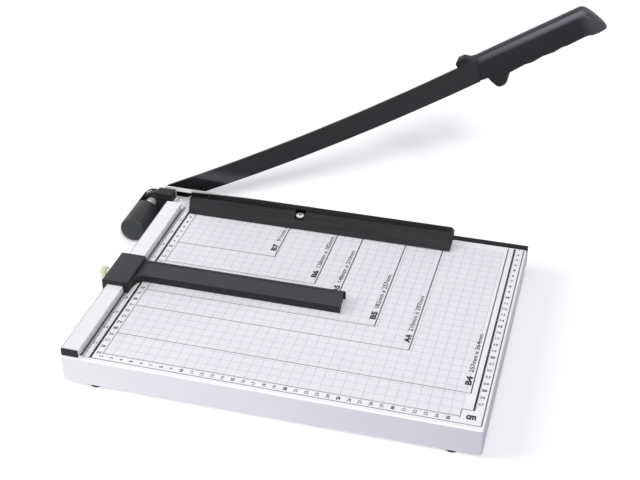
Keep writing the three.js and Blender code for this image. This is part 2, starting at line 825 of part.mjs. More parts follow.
// The block beside the board
function bracketBlock() {
  const shoulderX = bracketLipX - bracketTopWidth;
  const outline = [
    [bracketWallX, -bracketFoot],
    [bracketWallX, seatGap],
    [bracketLipX, seatGap],
    [bracketLipX, bracketTop],
    [shoulderX, bracketTop],
    [shoulderX, pivotZ],
    [pivotX, pivotZ],
    [pivotX, pivotZ - cradleRadius],
  ];
  return prismAlongY(outline, [-bracketFront, -bracketBack]);
}

// The open shell round the spring's sleeve
function bracketCradle() {
  const opening = boxSolid(
    [pivotX - cradleOpeningReach, bracketLipX - bracketTopWidth],
    [-cradleFront - cutOverrun, cutOverrun],
    [pivotZ + cradleOpeningRise, bracketTop + cutOverrun],
  );
  return cut(alongPivot([-cradleFront, -hubBack], cradleRadius), opening);
}

// The wall that carries the pivot, with a round face for the arm
function bracketHub() {
  const y = [-hubFront, -hubBack];
  const web = prismAlongY(hubOutline.map(([right, up]) => [pivotX + right, pivotZ + up]), y);
  const lowerHalf = cut(
    alongPivot(y, cradleRadius - cradleWall / 2),
    boxSolid(
      [pivotX - cradleRadius, pivotX + cradleRadius],
      [-hubFront - cutOverrun, cutOverrun],
      [pivotZ, pivotZ + cradleRadius],
    ),
  );
  return join(web, lowerHalf, alongPivot(y, hubFaceRadius));
}

function pivotBracket() {
  const hollow = alongPivot([-cradleFront - cutOverrun, cutOverrun], cradleRadius - cradleWall);
  const shell = cut(join(bracketBlock(), bracketCradle()), hollow);
  const bore = alongPivot([-cradleFront - cutOverrun, cutOverrun], boltRadius + seatGap, 16);
  const wallHoles = bracketScrewZs.map((z) =>
    rodSolid(
      [bracketWallX + cutOverrun, -bracketScrewY, z],
      [bracketWallX - bracketScrewDepth - seatGap, -bracketScrewY, z],
      largeScrewRadius + seatGap,
    ),
  );
  const uprightHole = rodSolid(
    [-uprightScrewX, -bracketBack + cutOverrun, uprightScrewZ],
    [-uprightScrewX, -bracketBack - bracketScrewDepth - seatGap, uprightScrewZ],
    smallScrewRadius + seatGap,
  );
  return cut(join(shell, bracketHub()), bore, ...wallHoles, uprightHole);
}

function addBracket(group) {
  addPiece(group, "pivot_bracket", pivotBracket(), blackPlastic);
  const inside = boardLeft + sheetThickness + seatGap;
  const length = inside - bracketWallX + bracketScrewDepth;
  bracketScrewZs.forEach((z, i) => {
    const screw = panScrew(largeScrewRadius, length, largeHeadRadius, largeHeadHeight);
    addPiece(group, `bracket_screw_${i + 1}`, screw, zincPlate, [inside, -bracketScrewY, z], headRight);
  });
}

// Pieces on the pivot's axis, in a group whose origin is on that axis
function pivotBolt() {
  const shank = rodSolid([0, -boltFrontEnd, 0], [0, boltHeadFront + boltHeadHeight / 2, 0], boltRadius, 24);
  const head = rodSolid([0, boltHeadFront, 0], [0, boltHeadFront + boltHeadHeight, 0], boltHeadRadius, 6);
  return join(shank, head);
}

// The flange that closes the cap, with a guide for the spring in front and a sleeve behind
function springSeatCollar() {
  const bore = boltRadius + seatGap;
  const overlap = (collarFront + collarBack) / 2;
  const guideRadius = springRadius - springWireRadius - seatGap;
  const flange = ringSolid(capRadius - capWall - seatGap, bore, [collarFront, collarBack], 40);
  const guide = ringSolid(guideRadius, bore, [collarFront - collarSpigotLength, overlap]);
  const sleeve = ringSolid(collarSleeveRadius, bore, [overlap, -hubFront - seatGap], 40);
  return join(flange, guide, sleeve);
}

function springCap() {
  const front = collarBack - capLength;
  const turns = [0, 1, 2, 3, 4].map((step) => (Math.PI / 2) * (step / 4));
  const edge = turns.map((turn) => [
    capRadius - capEdge * (1 - Math.sin(turn)),
    front + capEdge * (1 - Math.cos(turn)),
  ]);
  const hollow = rodSolid([0, front + capWall, 0], [0, collarBack + cutOverrun, 0], capRadius - capWall, 40);
  return cut(turnedSolid([[0, front], ...edge, [capRadius, collarBack], [0, collarBack]], 40), hollow);
}

class Helix extends THREE.Curve {
  getPoint(share, target = new THREE.Vector3()) {
    const turn = share * springTurns * Math.PI * 2;
    const along = springBack - springWireRadius - share * (springLength - springWireRadius * 2);
    return target.set(springRadius * Math.cos(turn), along, springRadius * Math.sin(turn));
  }
}

function pivotSpring() {
  const wire = new THREE.Shape();
  wire.absarc(0, 0, springWireRadius, 0, Math.PI * 2);
  const settings = { steps: springTurns * 10, curveSegments: 3, extrudePath: new Helix() };
  return toSolid(new THREE.ExtrudeGeometry(wire, settings));
}

function addPivot(group) {
  const bore = boltRadius + seatGap;
  const axle = new THREE.Group();
  axle.position.set(pivotX, 0, pivotZ);
  group.add(axle);
  const headWasherY = [headWasherFront, headWasherFront + headWasherThickness];
  const spacerY = [-hubBack + seatGap, -hubBack + seatGap + spacerWasherThickness];
  const frontWasherY = [frontWasherBack - frontWasherThickness, frontWasherBack];
  addPiece(axle, "pivot_bolt", pivotBolt(), zincPlate);
  addPiece(axle, "pivot_head_washer", ringSolid(headWasherRadius, bore, headWasherY), zincPlate);
  addPiece(axle, "pivot_spacer_washer", ringSolid(spacerWasherRadius, bore, spacerY), chromePlate);
  addPiece(axle, "spring_seat_collar", springSeatCollar(), chromePlate);
  addPiece(axle, "pivot_spring", pivotSpring(), blackSteel);
  addPiece(axle, "pivot_front_washer", ringSolid(frontWasherRadius, bore, frontWasherY), zincPlate);
  addPiece(axle, "pivot_nut", ringSolid(nutRadius, bore, [nutBack - nutHeight, nutBack], 6), zincPlate);
  addPiece(axle, "spring_cap", springCap(), capPlastic);
}

// Blade arm
function armRing(x, bevelShare, lean = 0) {
  const low = armLower(x);
  const high = armUpper(x) - armShoulderDrop * Math.max(0, 1 - x / armShoulder);
  const edge = armThickness + (bladeEdgeThickness - armThickness) * bevelShare;
  const section = [
    [armInner, low],
    [armInner + edge - bladeEdgeThickness / 2, low],
    [armOuter, low + bladeBevelHeight * bevelShare + bladeEdgeThickness],
    [armOuter, high],
    [armInner, high],
  ];
  return section.map(([y, z]) => new THREE.Vector3(x + (lean * (z - low)) / (high - low), y, z));
}

function bladeArm() {
  const root = [0, armShoulder, bladeStart].map((x) => armRing(x, 0));
  const ground = spread(bladeStart + bladeRamp, bladeEnd - bladeRamp, 16).map((x) => armRing(x, 1));
  const bar = loftSolid([...root, ...ground, armRing(bladeEnd, 0, bladeEndLean)]);
  const heel = rodSolid([0, armInner, 0], [0, armOuter, 0], armHeelRadius, 40);
  const tangZ = [tangLow, tangLow + tangHeight];
  const tang = boxSolid([bladeEnd - tangRoot, tangEnd], [tangFront, armOuter], tangZ);
  const bore = rodSolid([0, -cutOverrun, 0], [0, armOuter + cutOverrun, 0], boltRadius + seatGap, 24);
  const z = tangMiddle;
  const holes = handleScrewXs.map((x) =>
    rodSolid([x, -cutOverrun, z], [x, armOuter + cutOverrun, z], smallScrewRadius + seatGap),
  );
  const x = handleScrewXs[0];
  const sink = rodSolid(
    [x, -cutOverrun, z],
    [x, armInner + smallHeadHeight + seatGap, z],
    smallHeadRadius + seatGap,
  );
  return cut(join(bar, heel, tang), bore, ...holes, sink);
}

function handleRing([along, under, over]) {
  const x = handleStart + along * handleLength;
  const z = [under * handleRise, over * handleRise];
  const intoButt = Math.max(0, (x - handleStart - handleLength) / handleButtLength + 1);
  const inset = handleButtInset * (1 - Math.sqrt(1 - intoButt ** 2));
  const y = [handleInner + inset, handleInner + handleThickness - inset];
  const most = (Math.min(z[1] - z[0], y[1] - y[0]) * handleRoundingShare) / 2;
  const below = Math.min(handleBottomRadius, most);
  const above = Math.min(handleTopRadius, most);
  const outline = roundedOutline(y, z, [below, below, above, above], handleArcSteps);
  return outline.map(([a, b]) => new THREE.Vector3(x, a, b));
}

// The open space in the handle for the blade's end
function bladePocket() {
  const pocketEnd = bladeEnd + seatGap;
  const outline = [
    [handleStart - cutOverrun, -handleRise],
    [pocketEnd, -handleRise],
    [pocketEnd, armLower(bladeEnd)],
    [pocketEnd + bladeEndLean, armUpper(bladeEnd)],
    [pocketEnd + bladeEndLean, handleRise + cutOverrun],
    [handleStart - cutOverrun, handleRise + cutOverrun],
  ];
  return prismAlongY(outline, [-cutOverrun, armOuter + seatGap]);
}

// One screw enters from the front and one from behind, both through the tang
function handleHoles() {
  const [frontX, backX] = handleScrewXs;
  const z = tangMiddle;
  const shank = smallScrewRadius + seatGap;
  const head = smallHeadRadius + seatGap;
  return [
    rodSolid([frontX, -cutOverrun, z], [frontX, handleFrontSeat + seatGap, z], head),
    rodSolid([frontX, 0, z], [frontX, handleFrontSeat + handleScrewDepth + seatGap, z], shank),
    rodSolid([backX, tangFront, z], [backX, handleBackSeat + cutOverrun, z], shank),
    rodSolid([backX, handleBackSeat - seatGap, z], [backX, handleBack + cutOverrun, z], head),
  ];
}

function handle() {
  const tangPocket = boxSolid(
    [bladeEnd, tangEnd + seatGap],
    [tangFront - seatGap, armOuter + seatGap],
    [tangLow - seatGap, tangLow + tangHeight + seatGap],
  );
  return cut(loftSolid(handleOutlineShares.map(handleRing)), bladePocket(), tangPocket, ...handleHoles());
}

function addArm(group) {
  const arm = new THREE.Group();
  arm.position.set(pivotX, 0, pivotZ);
  arm.rotation.set(0, -THREE.MathUtils.degToRad(armRestDegrees), 0);
  group.add(arm);
  addPiece(arm, "blade_arm", bladeArm(), blackSteel);
  addPiece(arm, "handle", handle(), handlePlastic);
  const [frontX, backX] = handleScrewXs;
  const frontScrew = panScrew(smallScrewRadius, handleScrewDepth, smallHeadRadius, smallHeadHeight);
  const backLength = handleBackSeat - tangFront - seatGap;
  const backScrew = panScrew(smallScrewRadius, backLength, smallHeadRadius, smallHeadHeight);
  addPiece(arm, "handle_screw_1", frontScrew, blackSteel, [frontX, handleFrontSeat, tangMiddle], headFront);
  addPiece(arm, "handle_screw_2", backScrew, blackSteel, [backX, handleBackSeat, tangMiddle], headBack);
}

// Paper gauge
function gaugeHead() {
  const left = -railWidth - seatGap - gaugeLeftWall;
  const right = seatGap + gaugeHeadWall;
  const y = [gaugeHeadLead - gaugeHeadLength, gaugeHeadLead];
  const radii = [0, 0, gaugeHeadRadius, gaugeHeadRadius];
  const block = prismAlongY(roundedOutline([left, right], [gaugeLift, gaugeHeadTop], radii), y);
  const channelY = [y[0] - cutOverrun, y[1] + cutOverrun];
  const channel = boxSolid([-railWidth - seatGap, seatGap], channelY, [0, railTop + seatGap]);
  const underLeft = boxSolid([left - cutOverrun, -railWidth], channelY, [0, gaugeLeftLift]);
  const hole = rodSolid(
    [left - cutOverrun, thumbscrewY, thumbscrewZ],
    [-railWidth, thumbscrewY, thumbscrewZ],
    thumbscrewRadius + seatGap,
  );
  return cut(block, channel, underLeft, hole);
}

function gaugeArm() {
  const root = seatGap + gaugeHeadWall / 2;
  const plan = new THREE.Shape();
  plan.moveTo(root, 0);
  plan.lineTo(gaugeArmReach, 0);
  plan.lineTo(gaugeArmReach + gaugeArmEndSlant, -gaugeArmDepth);
  plan.lineTo(gaugeFilletReach, -gaugeArmDepth);
  plan.quadraticCurveTo(seatGap + gaugeHeadWall, -gaugeArmDepth, seatGap + gaugeHeadWall, -gaugeFilletDepth);
  plan.lineTo(root, -gaugeFilletDepth);
  const arm = prismAlongZ(plan, [gaugeLift, gaugeArmTop]);
  const fence = boxSolid([root, fenceReach], [-fenceThickness, 0], [gaugeLift, fenceTop]);
  return join(arm, fence);
}

// The thumbscrew lies along x, with its tip in the rail's groove
function gaugeThumbscrew() {
  const tip = -railWidth + railGrooveDepth - seatGap;
  const legFace = -railWidth - seatGap - gaugeLeftWall - seatGap;
  const neckEnd = legFace - thumbscrewNeckLength;
  const knobEnd = neckEnd - thumbscrewKnobThickness;
  const rim = thumbscrewKnobRadius - thumbscrewKnobEdge;
  const profile = [
    [0, knobEnd],
    [rim, knobEnd],
    [thumbscrewKnobRadius, knobEnd + thumbscrewKnobEdge],
    [thumbscrewKnobRadius, neckEnd - thumbscrewKnobEdge],
    [rim, neckEnd],
    [thumbscrewNeckRadius, neckEnd],
    [thumbscrewNeckRadius, legFace],
    [thumbscrewRadius, legFace],
    [thumbscrewRadius, tip],
    [0, tip],
  ];
  const lathe = new THREE.LatheGeometry(profile.map(([r, x]) => new THREE.Vector2(r, x)), 24);
  lathe.rotateZ(-Math.PI / 2);
  return toSolid(lathe);
}

function addGauge(group) {
  const gauge = new THREE.Group();
  gauge.position.set(0, gaugeRestY, 0);
  group.add(gauge);
  addPiece(gauge, "gauge_body", join(gaugeHead(), gaugeArm()), gaugePlastic);
  addPiece(gauge, "gauge_thumbscrew", gaugeThumbscrew(), brass, [0, thumbscrewY, thumbscrewZ]);
}

// The whole part, over the middle of its base
const cutter = new THREE.Group();
addBoard(cutter);
addFeet(cutter);
addRail(cutter);
addGuard(cutter);
addBracket(cutter);
addPivot(cutter);
addArm(cutter);
addGauge(cutter);

cutter.updateMatrixWorld(true);
const extent = new THREE.Box3().setFromObject(cutter, true);
const middle = extent.getCenter(new THREE.Vector3());
const part = new THREE.Group();
part.name = "paper_cutter";
cutter.position.set(-middle.x, -middle.y, -extent.min.z);
part.add(cutter);

export default part;
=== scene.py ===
"""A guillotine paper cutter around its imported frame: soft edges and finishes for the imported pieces, the
board's printed grid and rulers, and the knurled screw of the paper gauge."""
import itertools
import math

import bmesh
import bpy
from mathutils import Matrix, Vector


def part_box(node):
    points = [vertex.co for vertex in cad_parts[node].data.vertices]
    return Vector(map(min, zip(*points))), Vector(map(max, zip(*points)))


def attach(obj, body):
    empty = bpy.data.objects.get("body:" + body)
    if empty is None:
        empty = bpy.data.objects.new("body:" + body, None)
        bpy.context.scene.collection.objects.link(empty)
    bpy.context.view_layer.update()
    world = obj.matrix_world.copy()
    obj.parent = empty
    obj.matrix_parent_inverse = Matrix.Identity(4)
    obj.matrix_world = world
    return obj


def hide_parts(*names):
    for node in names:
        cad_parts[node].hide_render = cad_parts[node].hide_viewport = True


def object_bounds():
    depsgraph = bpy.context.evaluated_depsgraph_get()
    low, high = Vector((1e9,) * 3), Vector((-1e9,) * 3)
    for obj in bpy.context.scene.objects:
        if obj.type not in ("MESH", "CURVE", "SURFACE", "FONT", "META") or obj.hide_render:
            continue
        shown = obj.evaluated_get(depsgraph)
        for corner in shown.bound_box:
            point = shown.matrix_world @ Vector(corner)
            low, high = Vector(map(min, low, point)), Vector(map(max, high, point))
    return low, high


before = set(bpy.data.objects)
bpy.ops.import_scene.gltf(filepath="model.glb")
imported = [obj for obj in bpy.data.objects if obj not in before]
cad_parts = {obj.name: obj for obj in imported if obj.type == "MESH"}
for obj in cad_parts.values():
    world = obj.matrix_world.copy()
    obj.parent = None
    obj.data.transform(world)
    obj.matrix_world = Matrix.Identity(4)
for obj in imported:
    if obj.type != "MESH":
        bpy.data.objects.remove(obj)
cad_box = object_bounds()

MM = 0.001

# Corner of the paper: the stop at x = 0, the cut at y = 0 and the top of the board at z = 0
CORNER = Vector((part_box("paper_rail")[1].x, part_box("bed_knife")[1].y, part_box("base_pan")[1].z))


def at(x, y, z=0.0):
    """A point given in millimetres from the corner of the paper."""
    return CORNER + Vector((x, y, z)) * MM


def from_corner(point):
    """A point's coordinates in millimetres from the corner of the paper."""
    return [(place - start) / MM for place, start in zip(point, CORNER)]


# Camera
SENSOR_WIDTH = 36.0
LENS = 69.93
CAMERA_PLACE = (458.41, -1130.12, 727.82)
CAMERA_AZIMUTH = math.radians(15.119)
CAMERA_ELEVATION = math.radians(32.973)
CAMERA_ROLL = math.radians(0.09)
# Nearest and farthest distance that the camera sees, in metres
CAMERA_NEAR = 0.01
CAMERA_FAR = 50.0

# Studio: the floor's width in metres, its two tones and the scale of its clouds
FLOOR_WIDTH = 14.0
FLOOR_SQUARES = 8
FLOOR_COLOR = "#fbfbfc"
FLOOR_CLOUD_COLOR = "#f9f9fb"
FLOOR_CLOUD_SCALE = 3.0
FLOOR_CLOUD_DETAIL = 3.0
# How much whiter the camera sees the floor than its light makes it
FLOOR_LIFT = 0.12
# The sky's colour, its least and greatest strength and the side that it is brightest on
SKY_COLOR = "#f4f3ff"
SKY_LOW = 0.08
SKY_HIGH = 0.58
SKY_BRIGHT_SIDE = (-0.2, 0.0, 0.98)
BACKGROUND = "#ffffff"
# Each soft lamp's direction, spread in degrees, strength and colour
LAMPS = {
    "left_lamp": ((-0.85, -0.2, 0.5), 30, 1.15, "#fffefc"),
    "front_lamp": ((0.55, -1.05, 1.0), 8, 2.1, "#fffefc"),
}

# Every finish: the span that noise usually covers, its detail, and how its fine grain and the breaks in its
# edge colour (wear, and painted light on some finishes) look
NOISE_SPAN = (0.3, 0.7)
CLOUD_DETAIL = 4.0
ROUGH_DETAIL = 3.0
GRAIN_DETAIL = 2.0
ROUGH_PER_CLOUD = 3
GRAIN_STRENGTH = 0.6
EDGE_BREAK_SCALE = 420
EDGE_BREAK_DETAIL = 5.0
EDGE_BREAK_LEAST = 0.15
EDGE_BREAK_SPAN = (0.35, 0.65)
EDGE_SAMPLES = 4
# Likeness of the rounded and the plain normal, from an edge to an open face
EDGE_SPAN = (0.86, 0.995)
# Upward part of the normal, from upright faces to level ones
UPRIGHT_SPAN = (0.25, 0.85)

# Board: painted shade on its sides, growing towards the right, and on its right end, with the sideward part
# of the normal that the end's shade starts at
PAN_SIDE_SHADE_LEFT = "#dadadd"
PAN_SIDE_SHADE_RIGHT = "#bcbbc5"
PAN_END_SHADE = "#a3a2ae"
PAN_END_SHADE_SPAN = (0.5, 0.9)

# Rail: painted shade on its sides, and a line of painted shade along its outer edge, with the distance over
# which it fades
RAIL_SIDE_SHADE_TOP = "#f6f7f8"
RAIL_SIDE_SHADE_FOOT = "#dfdfe4"
RAIL_EDGE_SHADE = "#a2a2aa"
RAIL_EDGE_SHADE_FADE = (0.5, 1.1)

# Paper gauge: painted shade on its upright sides
GAUGE_SIDE_SHADE = "#151518"

# Inch strip: painted shade of the rail beside it over the half that carries the marks, with the distance over
# which it ends
STRIP_RAIL_SHADE = "#d2d5d5"
STRIP_RAIL_SHADE_FADE = (3.4, 4.4)

# Painted shade in the socket of the finger guard's screw
SOCKET_SHADE = "#222224"
SOCKET_SHADE_FADE = (1.7, 2.0)

# Finger guard: painted shade, by the upward part of the normal from its slope to its top, and from its steps
# to its slope
GUARD_TOP_SHADE = "#0c0c0d"
GUARD_TOP_SHADE_SPAN = (0.84, 0.95)
GUARD_STEP_SHADE = "#0a0a0b"
GUARD_STEP_SHADE_SPAN = (0.3, 0.45)

# Blade arm: its hinge and its angle at rest
HINGE_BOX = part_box("pivot_bolt")
ARM_HINGE = ((HINGE_BOX[0].x + HINGE_BOX[1].x) / 2, CORNER.y, (HINGE_BOX[0].z + HINGE_BOX[1].z) / 2)
ARM_ANGLE = math.radians(28)
# Painted reflections on the arm: a dark one over its root and a pale patch beside it, along a slanted
# direction from the hinge
REFLECTION_SLANT = (1.0, 0.0, 1.715)
ROOT_DARK_REFLECTION = "#08080a"
ROOT_DARK_REFLECTION_FADE = (73, 77)
PALE_REFLECTION = "#55555b"
PALE_REFLECTION_SPAN = (75, 80, 86, 116)
PALE_REFLECTION_SHARE = 0.6

# Handle: the slope of its upper edge above the arm's own line
HANDLE_LEAN = math.radians(4.65)
# The painted highlight along that edge: how far up, how deep and how far out it lies, and its share at first
BAND_HIGHLIGHT = "#66666e"
BAND_HIGHLIGHT_HEIGHTS = (-15, -10.4, -9.6, -7.6)
BAND_HIGHLIGHT_DEPTHS = (3.5, 8.5)
BAND_HIGHLIGHT_REACHES = (425, 510)
BAND_HIGHLIGHT_START = 0.4
# The painted highlight on the end
END_HIGHLIGHT = "#4a4d52"
END_HIGHLIGHT_REACHES = (522, 536)
END_HIGHLIGHT_SHARE = 0.55

# Soft edges
WELD_DISTANCE = 0.002
FLAT_ANGLE = math.radians(0.5)
SHARP_ANGLE = math.radians(32)
EDGE_SEGMENTS = 3
PLAIN_EDGE = 0.15
SOFT_EDGES = {
    "base_pan": 0.0,
    "bed_knife": 0.5,
    "paper_rail": 0.6,
    "inch_ruler_strip": 0.12,
    "guard_support": 0.3,
    "guard_spacer": 0.2,
    "finger_guard": 0.5,
    "blade_arm": 0.4,
    "handle": 1.0,
    "gauge_body": 0.6,
    "spring_cap": 0.5,
    "pivot_bracket": 0.8,
    "rail_front_cap": 0.5,
    "rail_rear_cap": 0.5,
}

# Print on the board
INK_THICKNESS = 0.03
GRID_PITCH = 10.0
GRID_LEFT = 20.1
GRID_RIGHT = 360.0
GRID_BACK = -20.0
GRID_FRONT = -290.2
GRID_LINE = 0.34
FINE_PITCH = 1.0
FINE_LINE = 0.09
FRAME_LINE = 0.8
FRAME_RIGHT_LINE = 1.2
FRAME_RIGHT_X = 380.2
FRAME_FRONT_Y = -299.5
# Both sides and the rear end of the line along the stop
STOP_LINE = (0.05, 1.2)
STOP_LINE_BACK = -28.0
HEAVY_LEFT_LINE = 2.4
HEAVY_LEFT_X = 10.5
HEAVY_LEFT_BACK = -26.0
HEAVY_RIGHT_LINE = 1.9
HEAVY_RIGHT_X = 370.6
INNER_LINE = 0.45
FORMAT_RIGHT_LINE = 1.25
FORMAT_FRONT_LINE = 0.7
CORNER_BOX_LEFT = 359.9
CORNER_BOX_BACK = -279.9
CORNER_BOX_FRONT = -292.5
# Length of the marks at each millimetre, each half centimetre and each centimetre
TICKS = (1.3, 2.0, 2.6)
TICK_LINE = 0.22
RIGHT_TICK_LOSS = 0.5
RIGHT_RULER_BACK = -10.0
RIGHT_RULER_FRONT = -280.0

# Numbers along the rulers, in centimetres
LEFT_NUMBERS = range(3, 30)
LEFT_DIGITS_X = 15.4
RIGHT_NUMBERS = range(1, 28)
RIGHT_DIGITS_X = 375.4
FRONT_NUMBERS = range(2, 36)
FRONT_DIGITS_Y = -295.0
DIGIT_HEIGHT = 3.7
DIGIT_WEIGHT = 0.02
BOLD_WEIGHT = 0.055
BOLD_EVERY = 5
LETTER_DEPTH = 0.5
LETTER_CURVES = 3

# Name of each paper format, with its length and width
PAPER_FORMATS = (
    ("B4", 364, 257),
    ("A4", 297, 210),
    ("B5", 257, 182),
    ("A5", 210, 148),
    ("B6", 182, 128),
    ("B7", 128, 91),
)
# Each label's inset from the line at its right, start above the line in front, length and height of letters
LABEL_INSET = 4.6
LABEL_NAME = (11.0, 13.0, 6.2)
LABEL_SIZE = (30.0, 60.0, 4.6)
UNIT_PLACE = (369.6, -289.6)
UNIT_LENGTH = 9.0
UNIT_HEIGHT = 6.5

# Marks on the inch strip
INCH = 25.4
INCH_PARTS = 16
INCH_LINE = 0.62
STRIP_EDGE_LINE = 0.8
INCH_MARGIN = 0.3
# Length of the marks at some sixteenths of the inch, and at the others
INCH_TICKS = {0: 4.6, 8: 3.9, 4: 3.5, 12: 3.5}
INCH_SHORT_TICK = 3.0
# What the marks and the numbers leave free at the strip's ends
INCH_TICK_END = 1
INCH_DIGIT_END = 4
INCH_DIGIT_HEIGHT = 3.4
# The numbers' distance from the strip's right side, and how far behind their mark they stand
INCH_DIGIT_INSET = 1.9
INCH_DIGIT_RISE = 2.0

# Knurled screw of the paper gauge: places along its axis from the knob's face, radii, and losses of radius
KNURL_TEETH = 30
KNURL_DEPTH = 0.5
STEPS_PER_TOOTH = 4
STEPS_PER_GROOVE = 2
FACE_LOSS = 1.6
RIM_START = 0.7
RIM_LOSS = 0.9
KNURL_START = 1.0
KNURL_END = 5.4
KNOB_LENGTH = 6.0
KNOB_BACK_LOSS = 0.8
NECK_RADIUS = 3.4
NECK_TAPER_START = 11.2
NECK_END = 11.5
NECK_END_RADIUS = 3.0
THREAD_RADIUS = 2.0
TIP_LENGTH = 0.6
TIP_RADIUS = 1.4
SCREW_WELD = 0.001


def linear(color):
    """Scene colour of a web colour."""
    channels = [int(color[i:i + 2], 16) / 255 for i in (1, 3, 5)]
    curved = [c / 12.92 if c <= 0.04045 else ((c + 0.055) / 1.055) ** 2.4 for c in channels]
    return (*curved, 1.0)


# Shader nodes
def new_material(name):
    """An empty material and its node tree."""
    material = bpy.data.materials.new(name)
    material.use_nodes = True
    material.node_tree.nodes.clear()
    return material, material.node_tree


def feed(tree, socket, value):
    """Links an input to another node's output, or sets it to a plain value."""
    if isinstance(value, bpy.types.NodeSocket):
        tree.links.new(value, socket)
    else:
        socket.default_value = value


def add_node(tree, kind, inputs=None, **settings):
    """A new shader node with its settings and its inputs."""
    node = tree.nodes.new(kind)
    for name, setting in settings.items():
        setattr(node, name, setting)
    for place, value in (inputs or {}).items():
        feed(tree, node.inputs[place], value)
    return node


def object_place(tree):
    """Each point's own place."""
    return add_node(tree, "ShaderNodeTexCoord").outputs["Object"]


def surface_normal(tree):
    """The direction that the surface faces."""
    return add_node(tree, "ShaderNodeNewGeometry").outputs["Normal"]


def part_of(tree, vector, axis):
    """One coordinate of a vector."""
    return add_node(tree, "ShaderNodeSeparateXYZ", {"Vector": vector}).outputs[axis]


def dot(tree, first, second):
    """Dot product of two vectors."""
    product = add_node(tree, "ShaderNodeVectorMath", {0: first, 1: second}, operation="DOT_PRODUCT")
    return product.outputs["Value"]


def times(tree, first, second):
    """Product of two values."""
    return add_node(tree, "ShaderNodeMath", {0: first, 1: second}, operation="MULTIPLY").outputs["Value"]


def noise(tree, scale, detail, stretch=(1, 1, 1)):
    """Noise over the object's own coordinates, with its scale per metre."""
    mapping = add_node(tree, "ShaderNodeMapping", {"Vector": object_place(tree), "Scale": stretch})
    inputs = {"Vector": mapping.outputs["Vector"], "Scale": scale, "Detail": detail}
    return add_node(tree, "ShaderNodeTexNoise", inputs).outputs["Fac"]


def remap(tree, value, low, high, start, end, smooth=False):
    """From low to high while a value goes from start to end, and level before and after."""
    inputs = {"Value": value, "From Min": start, "From Max": end, "To Min": low, "To Max": high}
    kind = "SMOOTHSTEP" if smooth else "LINEAR"
    return add_node(tree, "ShaderNodeMapRange", inputs, interpolation_type=kind).outputs["Result"]


def rising(tree, value, start, end, smooth=False):
    """0 up to the start and 1 from the end on."""
    return remap(tree, value, 0.0, 1.0, start, end, smooth)


def falling(tree, value, start, end, smooth=False):
    """1 up to the start and 0 from the end on."""
    return remap(tree, value, 1.0, 0.0, start, end, smooth)


def hump(tree, value, start, full_start, full_end, end):
    """1 between two values, with a smooth fall to 0 on both sides."""
    rise = rising(tree, value, start, full_start, smooth=True)
    fall = falling(tree, value, full_end, end, smooth=True)
    return times(tree, rise, fall)


def mix_colors(tree, share, first, second):
    """The first colour where the share is 0, and the second where it is 1."""
    mix = add_node(tree, "ShaderNodeMix", {"Factor": share}, data_type="RGBA")
    for name, color in (("A", first), ("B", second)):
        feed(tree, next(s for s in mix.inputs if s.name == name and s.type == "RGBA"), color)
    return next(s for s in mix.outputs if s.type == "RGBA")


def edge_mask(tree, radius):
    """1 on edges sharper than the radius and 0 on open faces."""
    rounded = add_node(tree, "ShaderNodeBevel", {"Radius": radius * MM}, samples=EDGE_SAMPLES)
    return falling(tree, dot(tree, rounded.outputs["Normal"], surface_normal(tree)), *EDGE_SPAN)


def upright_mask(tree):
    """1 on upright faces and 0 on level ones."""
    return falling(tree, part_of(tree, surface_normal(tree), "Z"), *UPRIGHT_SPAN)


# Overlays: each takes a finish's colour and gives it back with painted light and shade at some places
def board_sides(tree, tone):
    """Painted shade: upright sides a little darker than the top, more so towards the right end and on it."""
    low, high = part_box("base_pan")
    share = rising(tree, part_of(tree, object_place(tree), "X"), low.x, high.x)
    side_shade = mix_colors(tree, share, linear(PAN_SIDE_SHADE_LEFT), linear(PAN_SIDE_SHADE_RIGHT))
    tone = mix_colors(tree, upright_mask(tree), tone, side_shade)
    end = rising(tree, part_of(tree, surface_normal(tree), "X"), *PAN_END_SHADE_SPAN)
    return mix_colors(tree, end, tone, linear(PAN_END_SHADE))


def gauge_sides(tree, tone):
    """Painted shade: upright sides darker than the top."""
    return mix_colors(tree, upright_mask(tree), tone, linear(GAUGE_SIDE_SHADE))


def rail_sides(tree, tone):
    """Painted shade: upright sides that darken towards the foot, and a thin grey line along the outer edge.
    """
    low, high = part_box("paper_rail")
    share = falling(tree, part_of(tree, object_place(tree), "Z"), low.z, high.z)
    side_shade = mix_colors(tree, share, linear(RAIL_SIDE_SHADE_TOP), linear(RAIL_SIDE_SHADE_FOOT))
    tone = mix_colors(tree, upright_mask(tree), tone, side_shade)
    start, end = (low.x + distance * MM for distance in RAIL_EDGE_SHADE_FADE)
    line = falling(tree, part_of(tree, object_place(tree), "X"), start, end)
    return mix_colors(tree, line, tone, linear(RAIL_EDGE_SHADE))


def strip_halves(tree, tone):
    """Painted shade of the rail: the half beside it, which carries the marks, is darker than the half that
    carries the numbers.
    """
    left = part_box("inch_ruler_strip")[0].x
    start, end = (left + distance * MM for distance in STRIP_RAIL_SHADE_FADE)
    share = falling(tree, part_of(tree, object_place(tree), "X"), start, end)
    return mix_colors(tree, share, tone, linear(STRIP_RAIL_SHADE))


def screw_socket(tree, tone):
    """Painted shade in the socket round the screw's axis."""
    low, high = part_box("guard_screw")
    inputs = {0: object_place(tree), 1: (low + high) / 2}
    offset = add_node(tree, "ShaderNodeVectorMath", inputs, operation="SUBTRACT")
    inputs = {0: offset.outputs["Vector"], 1: (1, 1, 0)}
    flat = add_node(tree, "ShaderNodeVectorMath", inputs, operation="MULTIPLY")
    radius = add_node(tree, "ShaderNodeVectorMath", {0: flat.outputs["Vector"]}, operation="LENGTH")
    start, end = (distance * MM for distance in SOCKET_SHADE_FADE)
    share = falling(tree, radius.outputs["Value"], start, end)
    return mix_colors(tree, share, tone, linear(SOCKET_SHADE))


